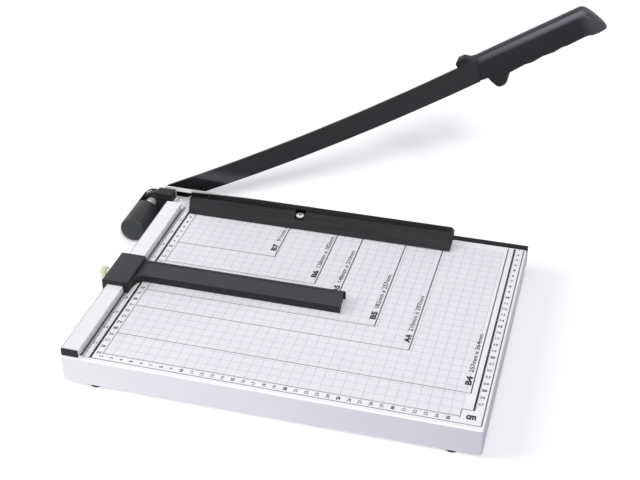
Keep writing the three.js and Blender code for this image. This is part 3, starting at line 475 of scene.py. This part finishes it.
def guard_facets(tree, tone):
    """Painted shade: the level top is darker than the slope, and the steps between facets are darkest."""
    facing_up = part_of(tree, surface_normal(tree), "Z")
    level = rising(tree, facing_up, *GUARD_TOP_SHADE_SPAN, smooth=True)
    steep = falling(tree, facing_up, *GUARD_STEP_SHADE_SPAN, smooth=True)
    tone = mix_colors(tree, level, tone, linear(GUARD_TOP_SHADE))
    return mix_colors(tree, steep, tone, linear(GUARD_STEP_SHADE))


def arm_place(tree, lean=0.0):
    """Place in the blade arm's own frame, from its hinge and along the arm, turned further by a lean."""
    inputs = {"Vector": object_place(tree), "Location": ARM_HINGE, "Rotation": (0, -(ARM_ANGLE + lean), 0)}
    return add_node(tree, "ShaderNodeMapping", inputs, vector_type="TEXTURE").outputs["Vector"]


def reach_along(tree, place, direction):
    """How far a place lies along a direction, in millimetres."""
    return dot(tree, place, Vector(direction) / MM)


def arm_root(tree, tone):
    """A painted dark reflection over the root of the arm, with a paler painted reflection where it ends."""
    slant = reach_along(tree, arm_place(tree), REFLECTION_SLANT)
    dark_reflection = falling(tree, slant, *ROOT_DARK_REFLECTION_FADE, smooth=True)
    pale_reflection = times(tree, hump(tree, slant, *PALE_REFLECTION_SPAN), PALE_REFLECTION_SHARE)
    tone = mix_colors(tree, pale_reflection, tone, linear(PALE_REFLECTION))
    return mix_colors(tree, dark_reflection, tone, linear(ROOT_DARK_REFLECTION))


def handle_sheen(tree, tone):
    """Painted highlights on the plastic along the rounded upper front edge and at the end."""
    place = arm_place(tree, HANDLE_LEAN)
    out, depth, up = (reach_along(tree, place, axis) for axis in ((1, 0, 0), (0, 1, 0), (0, 0, 1)))
    band_highlight = hump(tree, up, *BAND_HIGHLIGHT_HEIGHTS)
    band_highlight = times(tree, band_highlight, falling(tree, depth, *BAND_HIGHLIGHT_DEPTHS, smooth=True))
    band_highlight = times(tree, band_highlight, remap(tree, out, BAND_HIGHLIGHT_START, 1.0, *BAND_HIGHLIGHT_REACHES))
    end = remap(tree, out, 0.0, END_HIGHLIGHT_SHARE, *END_HIGHLIGHT_REACHES, smooth=True)
    tone = mix_colors(tree, end, tone, linear(END_HIGHLIGHT))
    return mix_colors(tree, band_highlight, tone, linear(BAND_HIGHLIGHT))


# Finishes
def clouded(tree, first, second, scale, detail, stretch=(1, 1, 1)):
    """Clouds of two colours."""
    return mix_colors(tree, rising(tree, noise(tree, scale, detail, stretch), *NOISE_SPAN), first, second)


def mottled(tree, color, mottle, scale, stretch):
    """A colour in clouds a little darker and a little lighter than itself."""
    base = linear(color)
    dark = (*[c * (1 - mottle) for c in base[:3]], 1.0)
    light = (*[min(1.0, c * (1 + mottle)) for c in base[:3]], 1.0)
    return clouded(tree, dark, light, scale, CLOUD_DETAIL, stretch)


def worn_edges(tree, tone, color, radius, share):
    """Another colour on sharp edges, with breaks: wear on most dark finishes, a painted highlight on the
    board's and the cap's rims and painted shade on the rail's edges.
    """
    breaks = remap(tree, noise(tree, EDGE_BREAK_SCALE, EDGE_BREAK_DETAIL), EDGE_BREAK_LEAST, 1.0, *EDGE_BREAK_SPAN)
    edge = times(tree, breaks, edge_mask(tree, radius))
    return mix_colors(tree, times(tree, edge, share), tone, linear(color))


def fine_relief(tree, scale, height, stretch):
    """The normal of a finely grained surface."""
    inputs = {
        "Height": noise(tree, scale, GRAIN_DETAIL, stretch),
        "Strength": GRAIN_STRENGTH,
        "Distance": height * MM,
    }
    return add_node(tree, "ShaderNodeBump", inputs).outputs["Normal"]


def finish_of(name, color, roughness, metallic=0.0, specular=0.5, mottle=0.06, mottle_scale=45,
              stretch=(1, 1, 1), rough_spread=0.05, grain_scale=1800, grain_height=0.012,
              edge_wear_and_light=None, edge_wear_and_light_radius=0.7, edge_wear_and_light_share=0.5, overlay=None):
    """A finish with cloudy colour, uneven roughness and fine relief, another colour on its sharp edges (wear
    on most dark finishes, painted light on the board's, the rail's and the cap's), and an overlay of painted
    light and shade that differs from place to place."""
    material, tree = new_material(name)
    tone = mottled(tree, color, mottle, mottle_scale, stretch)
    if overlay:
        tone = overlay(tree, tone)
    if edge_wear_and_light:
        tone = worn_edges(tree, tone, edge_wear_and_light, edge_wear_and_light_radius, edge_wear_and_light_share)
    rough = noise(tree, mottle_scale * ROUGH_PER_CLOUD, ROUGH_DETAIL, stretch)
    shader = add_node(tree, "ShaderNodeBsdfPrincipled", {
        "Base Color": tone,
        "Metallic": metallic,
        "Roughness": remap(tree, rough, roughness - rough_spread, roughness + rough_spread, *NOISE_SPAN),
        "Specular IOR Level": specular,
        "Normal": fine_relief(tree, grain_scale, grain_height, stretch),
    })
    add_node(tree, "ShaderNodeOutputMaterial", {"Surface": shader.outputs["BSDF"]})
    return material


def ink(name, color, fade):
    """Printed ink that lies a little unevenly."""
    return finish_of(name, color, 0.55, mottle=fade, mottle_scale=260, grain_scale=3000, grain_height=0.004)


# What finishes of one kind share
BLACK_STEEL = dict(
    specular=0.25, mottle=0.10, mottle_scale=50, grain_scale=1500, grain_height=0.010,
    edge_wear_and_light="#626266", edge_wear_and_light_share=0.35,
)
CHROME = dict(
    metallic=0.6, mottle=0.03, mottle_scale=90, rough_spread=0.04, grain_scale=900, grain_height=0.002,
)
# Finish of each material slot
FINISHES = {
    # Paler along its sharp edges: a painted highlight on the board's rounded rim; its overlay paints shade on
    # the sides
    "white_enamel": finish_of(
        "enamel_white", "#f4f4f6", 0.36, mottle=0.012, mottle_scale=9, grain_scale=700, grain_height=0.010,
        edge_wear_and_light="#fbfbfc", edge_wear_and_light_radius=0.8, edge_wear_and_light_share=0.6, overlay=board_sides,
    ),
    # Greyer along its sharp edges: painted shade on the rounded edges; its overlay paints shade on the sides
    "rail_enamel": finish_of(
        "enamel_rail", "#f4f5f6", 0.34, mottle=0.010, mottle_scale=14, grain_scale=900, grain_height=0.008,
        edge_wear_and_light="#b4b4bc", edge_wear_and_light_radius=0.5, overlay=rail_sides,
    ),
    "pale_strip": finish_of(
        "strip_aluminium", "#f3f5f5", 0.46, metallic=0.12, mottle=0.04, mottle_scale=60, stretch=(1, 0.08, 1),
        grain_scale=1500, grain_height=0.004, overlay=strip_halves,
    ),
    "black_steel": finish_of("steel_black", "#1f2022", 0.48, **BLACK_STEEL),
    "black_plastic": finish_of(
        "plastic_black", "#1c1c1e", 0.52, specular=0.3, mottle=0.08, mottle_scale=60, grain_scale=2600,
        grain_height=0.014, edge_wear_and_light="#4c4c50", edge_wear_and_light_share=0.35,
    ),
    "handle_plastic": finish_of(
        "plastic_handle", "#1d1d20", 0.46, specular=0.2, mottle=0.08, mottle_scale=40, grain_scale=2200,
        grain_height=0.006, overlay=handle_sheen,
    ),
    # Paler along its rounded rim: a painted highlight
    "cap_plastic": finish_of(
        "plastic_cap", "#292c2d", 0.42, specular=0.4, mottle_scale=60, grain_scale=2600, grain_height=0.010,
        edge_wear_and_light="#6c7072", edge_wear_and_light_radius=0.8,
    ),
    "gauge_plastic": finish_of(
        "plastic_gauge", "#353438", 0.55, specular=0.35, mottle=0.05, mottle_scale=50, grain_scale=2600,
        grain_height=0.014, edge_wear_and_light="#58575d", edge_wear_and_light_radius=0.6, edge_wear_and_light_share=0.3, overlay=gauge_sides,
    ),
    "zinc_plate": finish_of(
        "zinc", "#e0e2e4", 0.34, metallic=0.7, mottle=0.08, mottle_scale=120, grain_scale=1600,
        grain_height=0.006,
    ),
    "chrome_plate": finish_of("chrome", "#f2f3f3", 0.26, **CHROME),
    "brass": finish_of(
        "brass", "#dcdcc6", 0.36, metallic=0.5, mottle=0.08, mottle_scale=200, grain_scale=1600,
        grain_height=0.006,
    ),
    "rubber": finish_of(
        "rubber", "#1a1a1b", 0.80, mottle=0.08, mottle_scale=120, grain_scale=2200, grain_height=0.02,
    ),
}
# Finishes of single pieces that differ from the others of their slot
NODE_FINISHES = {
    "bed_knife": finish_of(
        "knife_black", "#0e0e0f", 0.5, specular=0.15, mottle=0.12, mottle_scale=50, grain_scale=1500,
        grain_height=0.010, edge_wear_and_light="#4a4a4e", edge_wear_and_light_share=0.3,
    ),
    "blade_arm": finish_of("arm_black", "#232325", 0.48, **BLACK_STEEL, overlay=arm_root),
    "finger_guard": finish_of(
        "guard_black", "#28282a", 0.52, specular=0.15, mottle=0.30, mottle_scale=260, stretch=(0.05, 1, 1),
        grain_scale=2600, grain_height=0.014, edge_wear_and_light="#4c4c50", overlay=guard_facets,
    ),
    "guard_support": finish_of(
        "support_zinc", "#f4f5f6", 0.34, metallic=0.35, mottle_scale=120, grain_scale=1600,
        grain_height=0.006,
    ),
    "guard_screw": finish_of("screw_chrome", "#f2f3f3", 0.26, **CHROME, overlay=screw_socket),
}
DARK_INK = ink("ink_dark", "#141417", 0.18)
NUMBER_INK = ink("ink_number", "#3a3a40", 0.15)
LINE_INK = ink("ink_line", "#58585f", 0.12)
GRID_INK = ink("ink_grid", "#b8b8c3", 0.10)
FINE_INK = ink("ink_fine", "#d3d3dc", 0.06)


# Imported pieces: modifiers soften their edges, and their slots get the finishes above
def soften(packed, width):
    """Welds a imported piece's faces, merges flat ones and rounds its sharp edges."""
    mesh = packed.data
    if "custom_normal" in mesh.attributes:
        mesh.attributes.remove(mesh.attributes["custom_normal"])
    for polygon in mesh.polygons:
        polygon.use_smooth = True
    weld = packed.modifiers.new("weld", "WELD")
    weld.merge_threshold = WELD_DISTANCE * MM
    flatten = packed.modifiers.new("flatten", "DECIMATE")
    flatten.decimate_type = "DISSOLVE"
    flatten.angle_limit = FLAT_ANGLE
    if width:
        bevel = packed.modifiers.new("soft_edges", "BEVEL")
        bevel.width = width * MM
        bevel.segments = EDGE_SEGMENTS
        bevel.limit_method = "ANGLE"
        bevel.angle_limit = SHARP_ANGLE
        bevel.harden_normals = True
        bevel.use_clamp_overlap = True
    split = packed.modifiers.new("crisp", "EDGE_SPLIT")
    split.split_angle = SHARP_ANGLE


def finish_packed_pieces():
    """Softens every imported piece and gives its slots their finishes."""
    for node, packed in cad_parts.items():
        soften(packed, SOFT_EDGES.get(node, PLAIN_EDGE))
        for slot in packed.material_slots:
            slot.material = NODE_FINISHES.get(node, FINISHES[slot.material.name.split(".")[0]])


# Pieces made here
def mesh_from(bm, name):
    """The mesh of a finished bmesh."""
    mesh = bpy.data.meshes.new(name)
    bm.to_mesh(mesh)
    bm.free()
    return mesh


def add_piece(name, bm, material, body):
    """Puts a finished bmesh into the scene as a piece that rides on a body."""
    piece = bpy.data.objects.new(name, mesh_from(bm, name))
    bpy.context.collection.objects.link(piece)
    piece.data.materials.append(material)
    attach(piece, body)
    return piece


# Print
def add_strip(bm, left, right, front, back, z=0.0):
    """A printed bar between four sides."""
    low = at(left, front, z)
    high = at(right, back, z + INK_THICKNESS)
    made = bmesh.ops.create_cube(bm, size=1.0)
    for vertex in made["verts"]:
        vertex.co = Vector([low[i] if vertex.co[i] < 0 else high[i] for i in range(3)])


def add_upright(bm, x, front, back, width):
    """A printed line that runs from front to back."""
    add_strip(bm, x - width / 2, x + width / 2, front, back)


def add_level(bm, y, left, right, width, z=0.0):
    """A printed line that runs from left to right."""
    add_strip(bm, left, right, y - width / 2, y + width / 2, z)


glyph_meshes = {}


def letter_mesh(text, weight):
    """A mesh of a text, of no set size."""
    curve = bpy.data.curves.new("glyphs", "FONT")
    curve.body = text
    curve.size = 1.0
    curve.extrude = LETTER_DEPTH
    curve.offset = weight
    curve.resolution_u = LETTER_CURVES
    holder = bpy.data.objects.new("glyphs", curve)
    bpy.context.collection.objects.link(holder)
    graph = bpy.context.evaluated_depsgraph_get()
    mesh = bpy.data.meshes.new_from_object(holder.evaluated_get(graph))
    bpy.data.objects.remove(holder)
    return mesh


def glyphs(text, height, weight, length=None):
    """A flat mesh of a text, centred on its middle, of a given height and, where one is given, length."""
    key = (text, height, weight, length)
    if key in glyph_meshes:
        return glyph_meshes[key]
    mesh = letter_mesh(text, weight)
    xs = [v.co.x for v in mesh.vertices]
    ys = [v.co.y for v in mesh.vertices]
    middle = Vector(((min(xs) + max(xs)) / 2, (min(ys) + max(ys)) / 2, 0))
    tall = height * MM / (max(ys) - min(ys))
    wide = length * MM / (max(xs) - min(xs)) if length else tall
    for vertex in mesh.vertices:
        flat = vertex.co - middle
        lift = (vertex.co.z + LETTER_DEPTH) * INK_THICKNESS * MM
        vertex.co = Vector((flat.x * wide, flat.y * tall, lift))
    glyph_meshes[key] = mesh
    return mesh


def add_text(bm, text, x, y, height, weight, turned=False, z=0.0, length=None):
    """A printed text centred on a place, upright or turned to read from front to back."""
    turn = Matrix.Rotation(math.pi / 2 if turned else 0.0, 4, "Z")
    copy = glyphs(text, height, weight, length).copy()
    copy.transform(Matrix.Translation(at(x, y, z)) @ turn)
    bm.from_mesh(copy)
    bpy.data.meshes.remove(copy)


def tick_length(millimetre):
    """How long a ruler's mark is at a whole number of millimetres."""
    each, half_centimetre, centimetre = TICKS
    return centimetre if millimetre % 10 == 0 else half_centimetre if millimetre % 5 == 0 else each


def print_ticks(bm):
    """Millimetre marks along the left, right and front rulers."""
    for millimetre in range(round(-GRID_BACK), round(-GRID_FRONT) + 1):
        add_level(bm, -millimetre, GRID_LEFT - tick_length(millimetre), GRID_LEFT, TICK_LINE)
    edge = HEAVY_RIGHT_X + HEAVY_RIGHT_LINE / 2
    for millimetre in range(round(-RIGHT_RULER_BACK), round(-RIGHT_RULER_FRONT)):
        end = edge + tick_length(millimetre) - RIGHT_TICK_LOSS
        add_level(bm, -millimetre, edge, end, TICK_LINE)
    for millimetre in range(round(GRID_LEFT), round(CORNER_BOX_LEFT)):
        add_upright(bm, millimetre, GRID_FRONT - tick_length(millimetre), GRID_FRONT, TICK_LINE)


def print_squares(name, pitch, line, material):
    """A grid of squares over the middle of the board."""
    bm = bmesh.new()
    for column in range(round(GRID_LEFT / pitch), round(GRID_RIGHT / pitch) + 1):
        add_upright(bm, column * pitch, GRID_FRONT, GRID_BACK, line)
    for row in range(round(-GRID_BACK / pitch), round(-GRID_FRONT / pitch) + 1):
        add_level(bm, -row * pitch, GRID_LEFT, GRID_RIGHT, line)
    add_piece(name, bm, material, "frame")


def print_lines():
    """Outlines of the grid, the rulers, the corner box and the paper formats, with the rulers' marks."""
    bm = bmesh.new()
    add_upright(bm, GRID_LEFT, GRID_FRONT, GRID_BACK, INNER_LINE)
    add_level(bm, GRID_FRONT, GRID_LEFT, CORNER_BOX_LEFT, INNER_LINE)
    add_upright(bm, FRAME_RIGHT_X, FRAME_FRONT_Y, RIGHT_RULER_BACK, FRAME_RIGHT_LINE)
    add_level(bm, FRAME_FRONT_Y, STOP_LINE[1], FRAME_RIGHT_X, FRAME_LINE)
    add_upright(bm, CORNER_BOX_LEFT, CORNER_BOX_FRONT, CORNER_BOX_BACK, FRAME_LINE)
    add_level(bm, CORNER_BOX_BACK, CORNER_BOX_LEFT, HEAVY_RIGHT_X, FRAME_LINE)
    for _, length, width in PAPER_FORMATS:
        add_upright(bm, length, -width, RIGHT_RULER_BACK, FORMAT_RIGHT_LINE)
        add_level(bm, -width, GRID_LEFT, length, FORMAT_FRONT_LINE)
    print_ticks(bm)
    add_piece("board_lines", bm, LINE_INK, "frame")


def print_numbers(bold, plain):
    """Numbers along the rulers: each fifth one goes to the bold mesh and the others to the plain one."""
    def add_number(number, x, y, turned=False):
        heavy = number % BOLD_EVERY == 0
        weight = BOLD_WEIGHT if heavy else DIGIT_WEIGHT
        add_text(bold if heavy else plain, str(number), x, y, DIGIT_HEIGHT, weight, turned)

    for number in LEFT_NUMBERS:
        add_number(number, LEFT_DIGITS_X, -number * GRID_PITCH)
    for number in RIGHT_NUMBERS:
        add_number(number, RIGHT_DIGITS_X, -number * GRID_PITCH)
    for number in FRONT_NUMBERS:
        add_number(number, number * GRID_PITCH, FRONT_DIGITS_Y, turned=True)


def print_label(bm, name, length, width):
    """A paper format's name and size, beside the line at its right."""
    size = f"{width}mm x {length}mm"
    for text, weight, measures in ((name, BOLD_WEIGHT, LABEL_NAME), (size, DIGIT_WEIGHT, LABEL_SIZE)):
        start, reach, height = measures
        middle = -width + start + reach / 2
        add_text(bm, text, length - LABEL_INSET, middle, height, weight, turned=True, length=reach)


def print_board():
    """Everything printed on the board, from the palest ink to the darkest."""
    print_squares("board_grid", GRID_PITCH, GRID_LINE, GRID_INK)
    print_squares("board_fine_grid", FINE_PITCH, FINE_LINE, FINE_INK)
    print_lines()
    dark = bmesh.new()
    add_strip(dark, *STOP_LINE, FRAME_FRONT_Y, STOP_LINE_BACK)
    add_upright(dark, HEAVY_LEFT_X, FRAME_FRONT_Y, HEAVY_LEFT_BACK, HEAVY_LEFT_LINE)
    add_upright(dark, HEAVY_RIGHT_X, RIGHT_RULER_FRONT, RIGHT_RULER_BACK, HEAVY_RIGHT_LINE)
    plain = bmesh.new()
    print_numbers(dark, plain)
    add_piece("board_numbers", plain, NUMBER_INK, "frame")
    for paper_format in PAPER_FORMATS:
        print_label(dark, *paper_format)
    add_text(dark, "cm", *UNIT_PLACE, UNIT_HEIGHT, BOLD_WEIGHT, length=UNIT_LENGTH)
    add_piece("board_print", dark, DARK_INK, "frame")


def print_inch_strip():
    """Sixteenths of an inch along the strip beside the stop, with a number at each inch."""
    low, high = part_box("inch_ruler_strip")
    left, front, _ = from_corner(low)
    right, back, top = from_corner(high)
    bm = bmesh.new()
    add_strip(bm, left, left + STRIP_EDGE_LINE, front, back, top)
    for part in itertools.count(1):
        y = -part * INCH / INCH_PARTS
        if y <= front + INCH_TICK_END:
            break
        if y < back - INCH_TICK_END:
            start = left + INCH_MARGIN
            reach = INCH_TICKS.get(part % INCH_PARTS, INCH_SHORT_TICK)
            add_level(bm, y, start, start + reach, INCH_LINE, top)
        if y < back - INCH_DIGIT_END and part % INCH_PARTS == 0:
            x = right - INCH_DIGIT_INSET
            number = str(part // INCH_PARTS)
            add_text(bm, number, x, y + INCH_DIGIT_RISE, INCH_DIGIT_HEIGHT, DIGIT_WEIGHT, z=top)
    add_piece("inch_marks", bm, DARK_INK, "frame")


# Knurled screw
def screw_profile(knob, length):
    """Places along the screw from the knob's face, each with its radius and whether the knurl cuts it."""
    return (
        (0.0, 0.0, False),
        (0.0, knob - FACE_LOSS, False),
        (RIM_START, knob - RIM_LOSS, True),
        (KNURL_START, knob, True),
        (KNURL_END, knob, True),
        (KNOB_LENGTH, knob - KNOB_BACK_LOSS, True),
        (KNOB_LENGTH, NECK_RADIUS, False),
        (NECK_TAPER_START, NECK_RADIUS, False),
        (NECK_END, NECK_END_RADIUS, False),
        (NECK_END, THREAD_RADIUS, False),
        (length - TIP_LENGTH, THREAD_RADIUS, False),
        (length, TIP_RADIUS, False),
        (length, 0.0, False),
    )


def screw_ring(bm, center, radius, toothed):
    """A ring of points round a place on the screw's axis, with a groove between two teeth."""
    x, y, z = center
    steps = KNURL_TEETH * STEPS_PER_TOOTH
    ring = []
    for step in range(steps):
        angle = 2 * math.pi * step / steps
        grooved = toothed and step % STEPS_PER_TOOTH < STEPS_PER_GROOVE
        reach = (radius - (KNURL_DEPTH if grooved else 0.0)) * MM
        ring.append(bm.verts.new((x, y + reach * math.cos(angle), z + reach * math.sin(angle))))
    return ring


def add_knurled_screw():
    """The gauge's thumbscrew, with a straight knurl round its knob."""
    node = "gauge_thumbscrew"
    low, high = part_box(node)
    axis = ((low.y + high.y) / 2, (low.z + high.z) / 2)
    knob = (high.y - low.y) / 2 / MM
    length = (high.x - low.x) / MM
    bm = bmesh.new()
    rings = []
    for x, radius, toothed in screw_profile(knob, length):
        rings.append(screw_ring(bm, (low.x + x * MM, *axis), radius, toothed))
    for near, far in zip(rings, rings[1:]):
        for i in range(len(near)):
            j = (i + 1) % len(near)
            bm.faces.new((near[i], near[j], far[j], far[i]))
    bmesh.ops.remove_doubles(bm, verts=bm.verts[:], dist=SCREW_WELD * MM)
    bmesh.ops.recalc_face_normals(bm, faces=bm.faces[:])
    piece = add_piece("knurled_thumbscrew", bm, FINISHES["brass"], "thumbscrew")
    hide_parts(node)


# Studio
def add_camera():
    """The camera at the photograph's angle, which the scene then uses."""
    back = Vector((
        math.sin(CAMERA_AZIMUTH) * math.cos(CAMERA_ELEVATION),
        -math.cos(CAMERA_AZIMUTH) * math.cos(CAMERA_ELEVATION),
        math.sin(CAMERA_ELEVATION),
    ))
    right = Vector((math.cos(CAMERA_AZIMUTH), math.sin(CAMERA_AZIMUTH), 0))
    up = back.cross(right)
    turn = Matrix((right, up, back)).transposed() @ Matrix.Rotation(CAMERA_ROLL, 3, "Z")
    data = bpy.data.cameras.new("camera")
    data.sensor_width = SENSOR_WIDTH
    data.lens = LENS
    data.clip_start = CAMERA_NEAR
    data.clip_end = CAMERA_FAR
    camera = bpy.data.objects.new("camera", data)
    camera.matrix_world = Matrix.Translation(at(*CAMERA_PLACE)) @ turn.to_4x4()
    bpy.context.collection.objects.link(camera)
    bpy.context.scene.camera = camera


def seen_directly(tree):
    """1 for what the camera sees itself, in gloss or through glass, and 0 for light on a surface."""
    path = add_node(tree, "ShaderNodeLightPath")
    seen = path.outputs["Is Camera Ray"]
    for ray in ("Is Glossy Ray", "Is Transmission Ray"):
        either = add_node(tree, "ShaderNodeMath", {0: seen, 1: path.outputs[ray]}, operation="MAXIMUM")
        seen = either.outputs["Value"]
    return seen


def floor_material():
    """A pale floor that shows the object's shadow, and nears white for the camera."""
    material, tree = new_material("studio_floor")
    tone = clouded(
        tree, linear(FLOOR_COLOR), linear(FLOOR_CLOUD_COLOR), FLOOR_CLOUD_SCALE, FLOOR_CLOUD_DETAIL
    )
    matte = add_node(tree, "ShaderNodeBsdfDiffuse", {"Color": tone})
    lift = times(tree, seen_directly(tree), FLOOR_LIFT)
    glow = add_node(tree, "ShaderNodeEmission", {"Strength": lift})
    both = add_node(tree, "ShaderNodeAddShader", {0: matte.outputs["BSDF"], 1: glow.outputs["Emission"]})
    add_node(tree, "ShaderNodeOutputMaterial", {"Surface": both.outputs["Shader"]})
    return material


def add_floor():
    """A wide floor under the object, which isn't part of it."""
    bm = bmesh.new()
    bmesh.ops.create_grid(bm, x_segments=FLOOR_SQUARES, y_segments=FLOOR_SQUARES, size=FLOOR_WIDTH / 2)
    floor = bpy.data.objects.new("studio_floor", mesh_from(bm, "studio_floor"))
    floor.location.z = cad_box[0].z
    floor.data.materials.append(floor_material())
    bpy.context.collection.objects.link(floor)


def add_sky():
    """Soft light that is brightest from the upper left, and white where the camera looks past the floor."""
    world = bpy.data.worlds.new("studio")
    world.use_nodes = True
    tree = world.node_tree
    tree.nodes.clear()
    direction = add_node(tree, "ShaderNodeTexCoord").outputs["Generated"]
    strength = remap(tree, dot(tree, direction, SKY_BRIGHT_SIDE), SKY_LOW, SKY_HIGH, 0.0, 1.0)
    soft = add_node(tree, "ShaderNodeBackground", {"Color": linear(SKY_COLOR), "Strength": strength})
    white = add_node(tree, "ShaderNodeBackground", {"Color": linear(BACKGROUND)})
    mix = add_node(tree, "ShaderNodeMixShader", {
        "Fac": seen_directly(tree),
        1: soft.outputs["Background"],
        2: white.outputs["Background"],
    })
    add_node(tree, "ShaderNodeOutputWorld", {"Surface": mix.outputs["Shader"]})
    bpy.context.scene.world = world


def add_lamp(name, direction, spread, strength, color):
    """A soft lamp far away in a direction."""
    data = bpy.data.lights.new(name, "SUN")
    data.angle = math.radians(spread)
    data.energy = strength
    data.color = linear(color)[:3]
    lamp = bpy.data.objects.new(name, data)
    lamp.location = CORNER + Vector(direction)
    lamp.rotation_mode = "QUATERNION"
    lamp.rotation_quaternion = Vector(direction).to_track_quat("Z", "Y")
    bpy.context.collection.objects.link(lamp)


finish_packed_pieces()
print_board()
print_inch_strip()
add_knurled_screw()
add_floor()
add_sky()
for lamp, settings in LAMPS.items():
    add_lamp(lamp, *settings)
add_camera()
bpy.context.scene.view_settings.view_transform = "Standard"
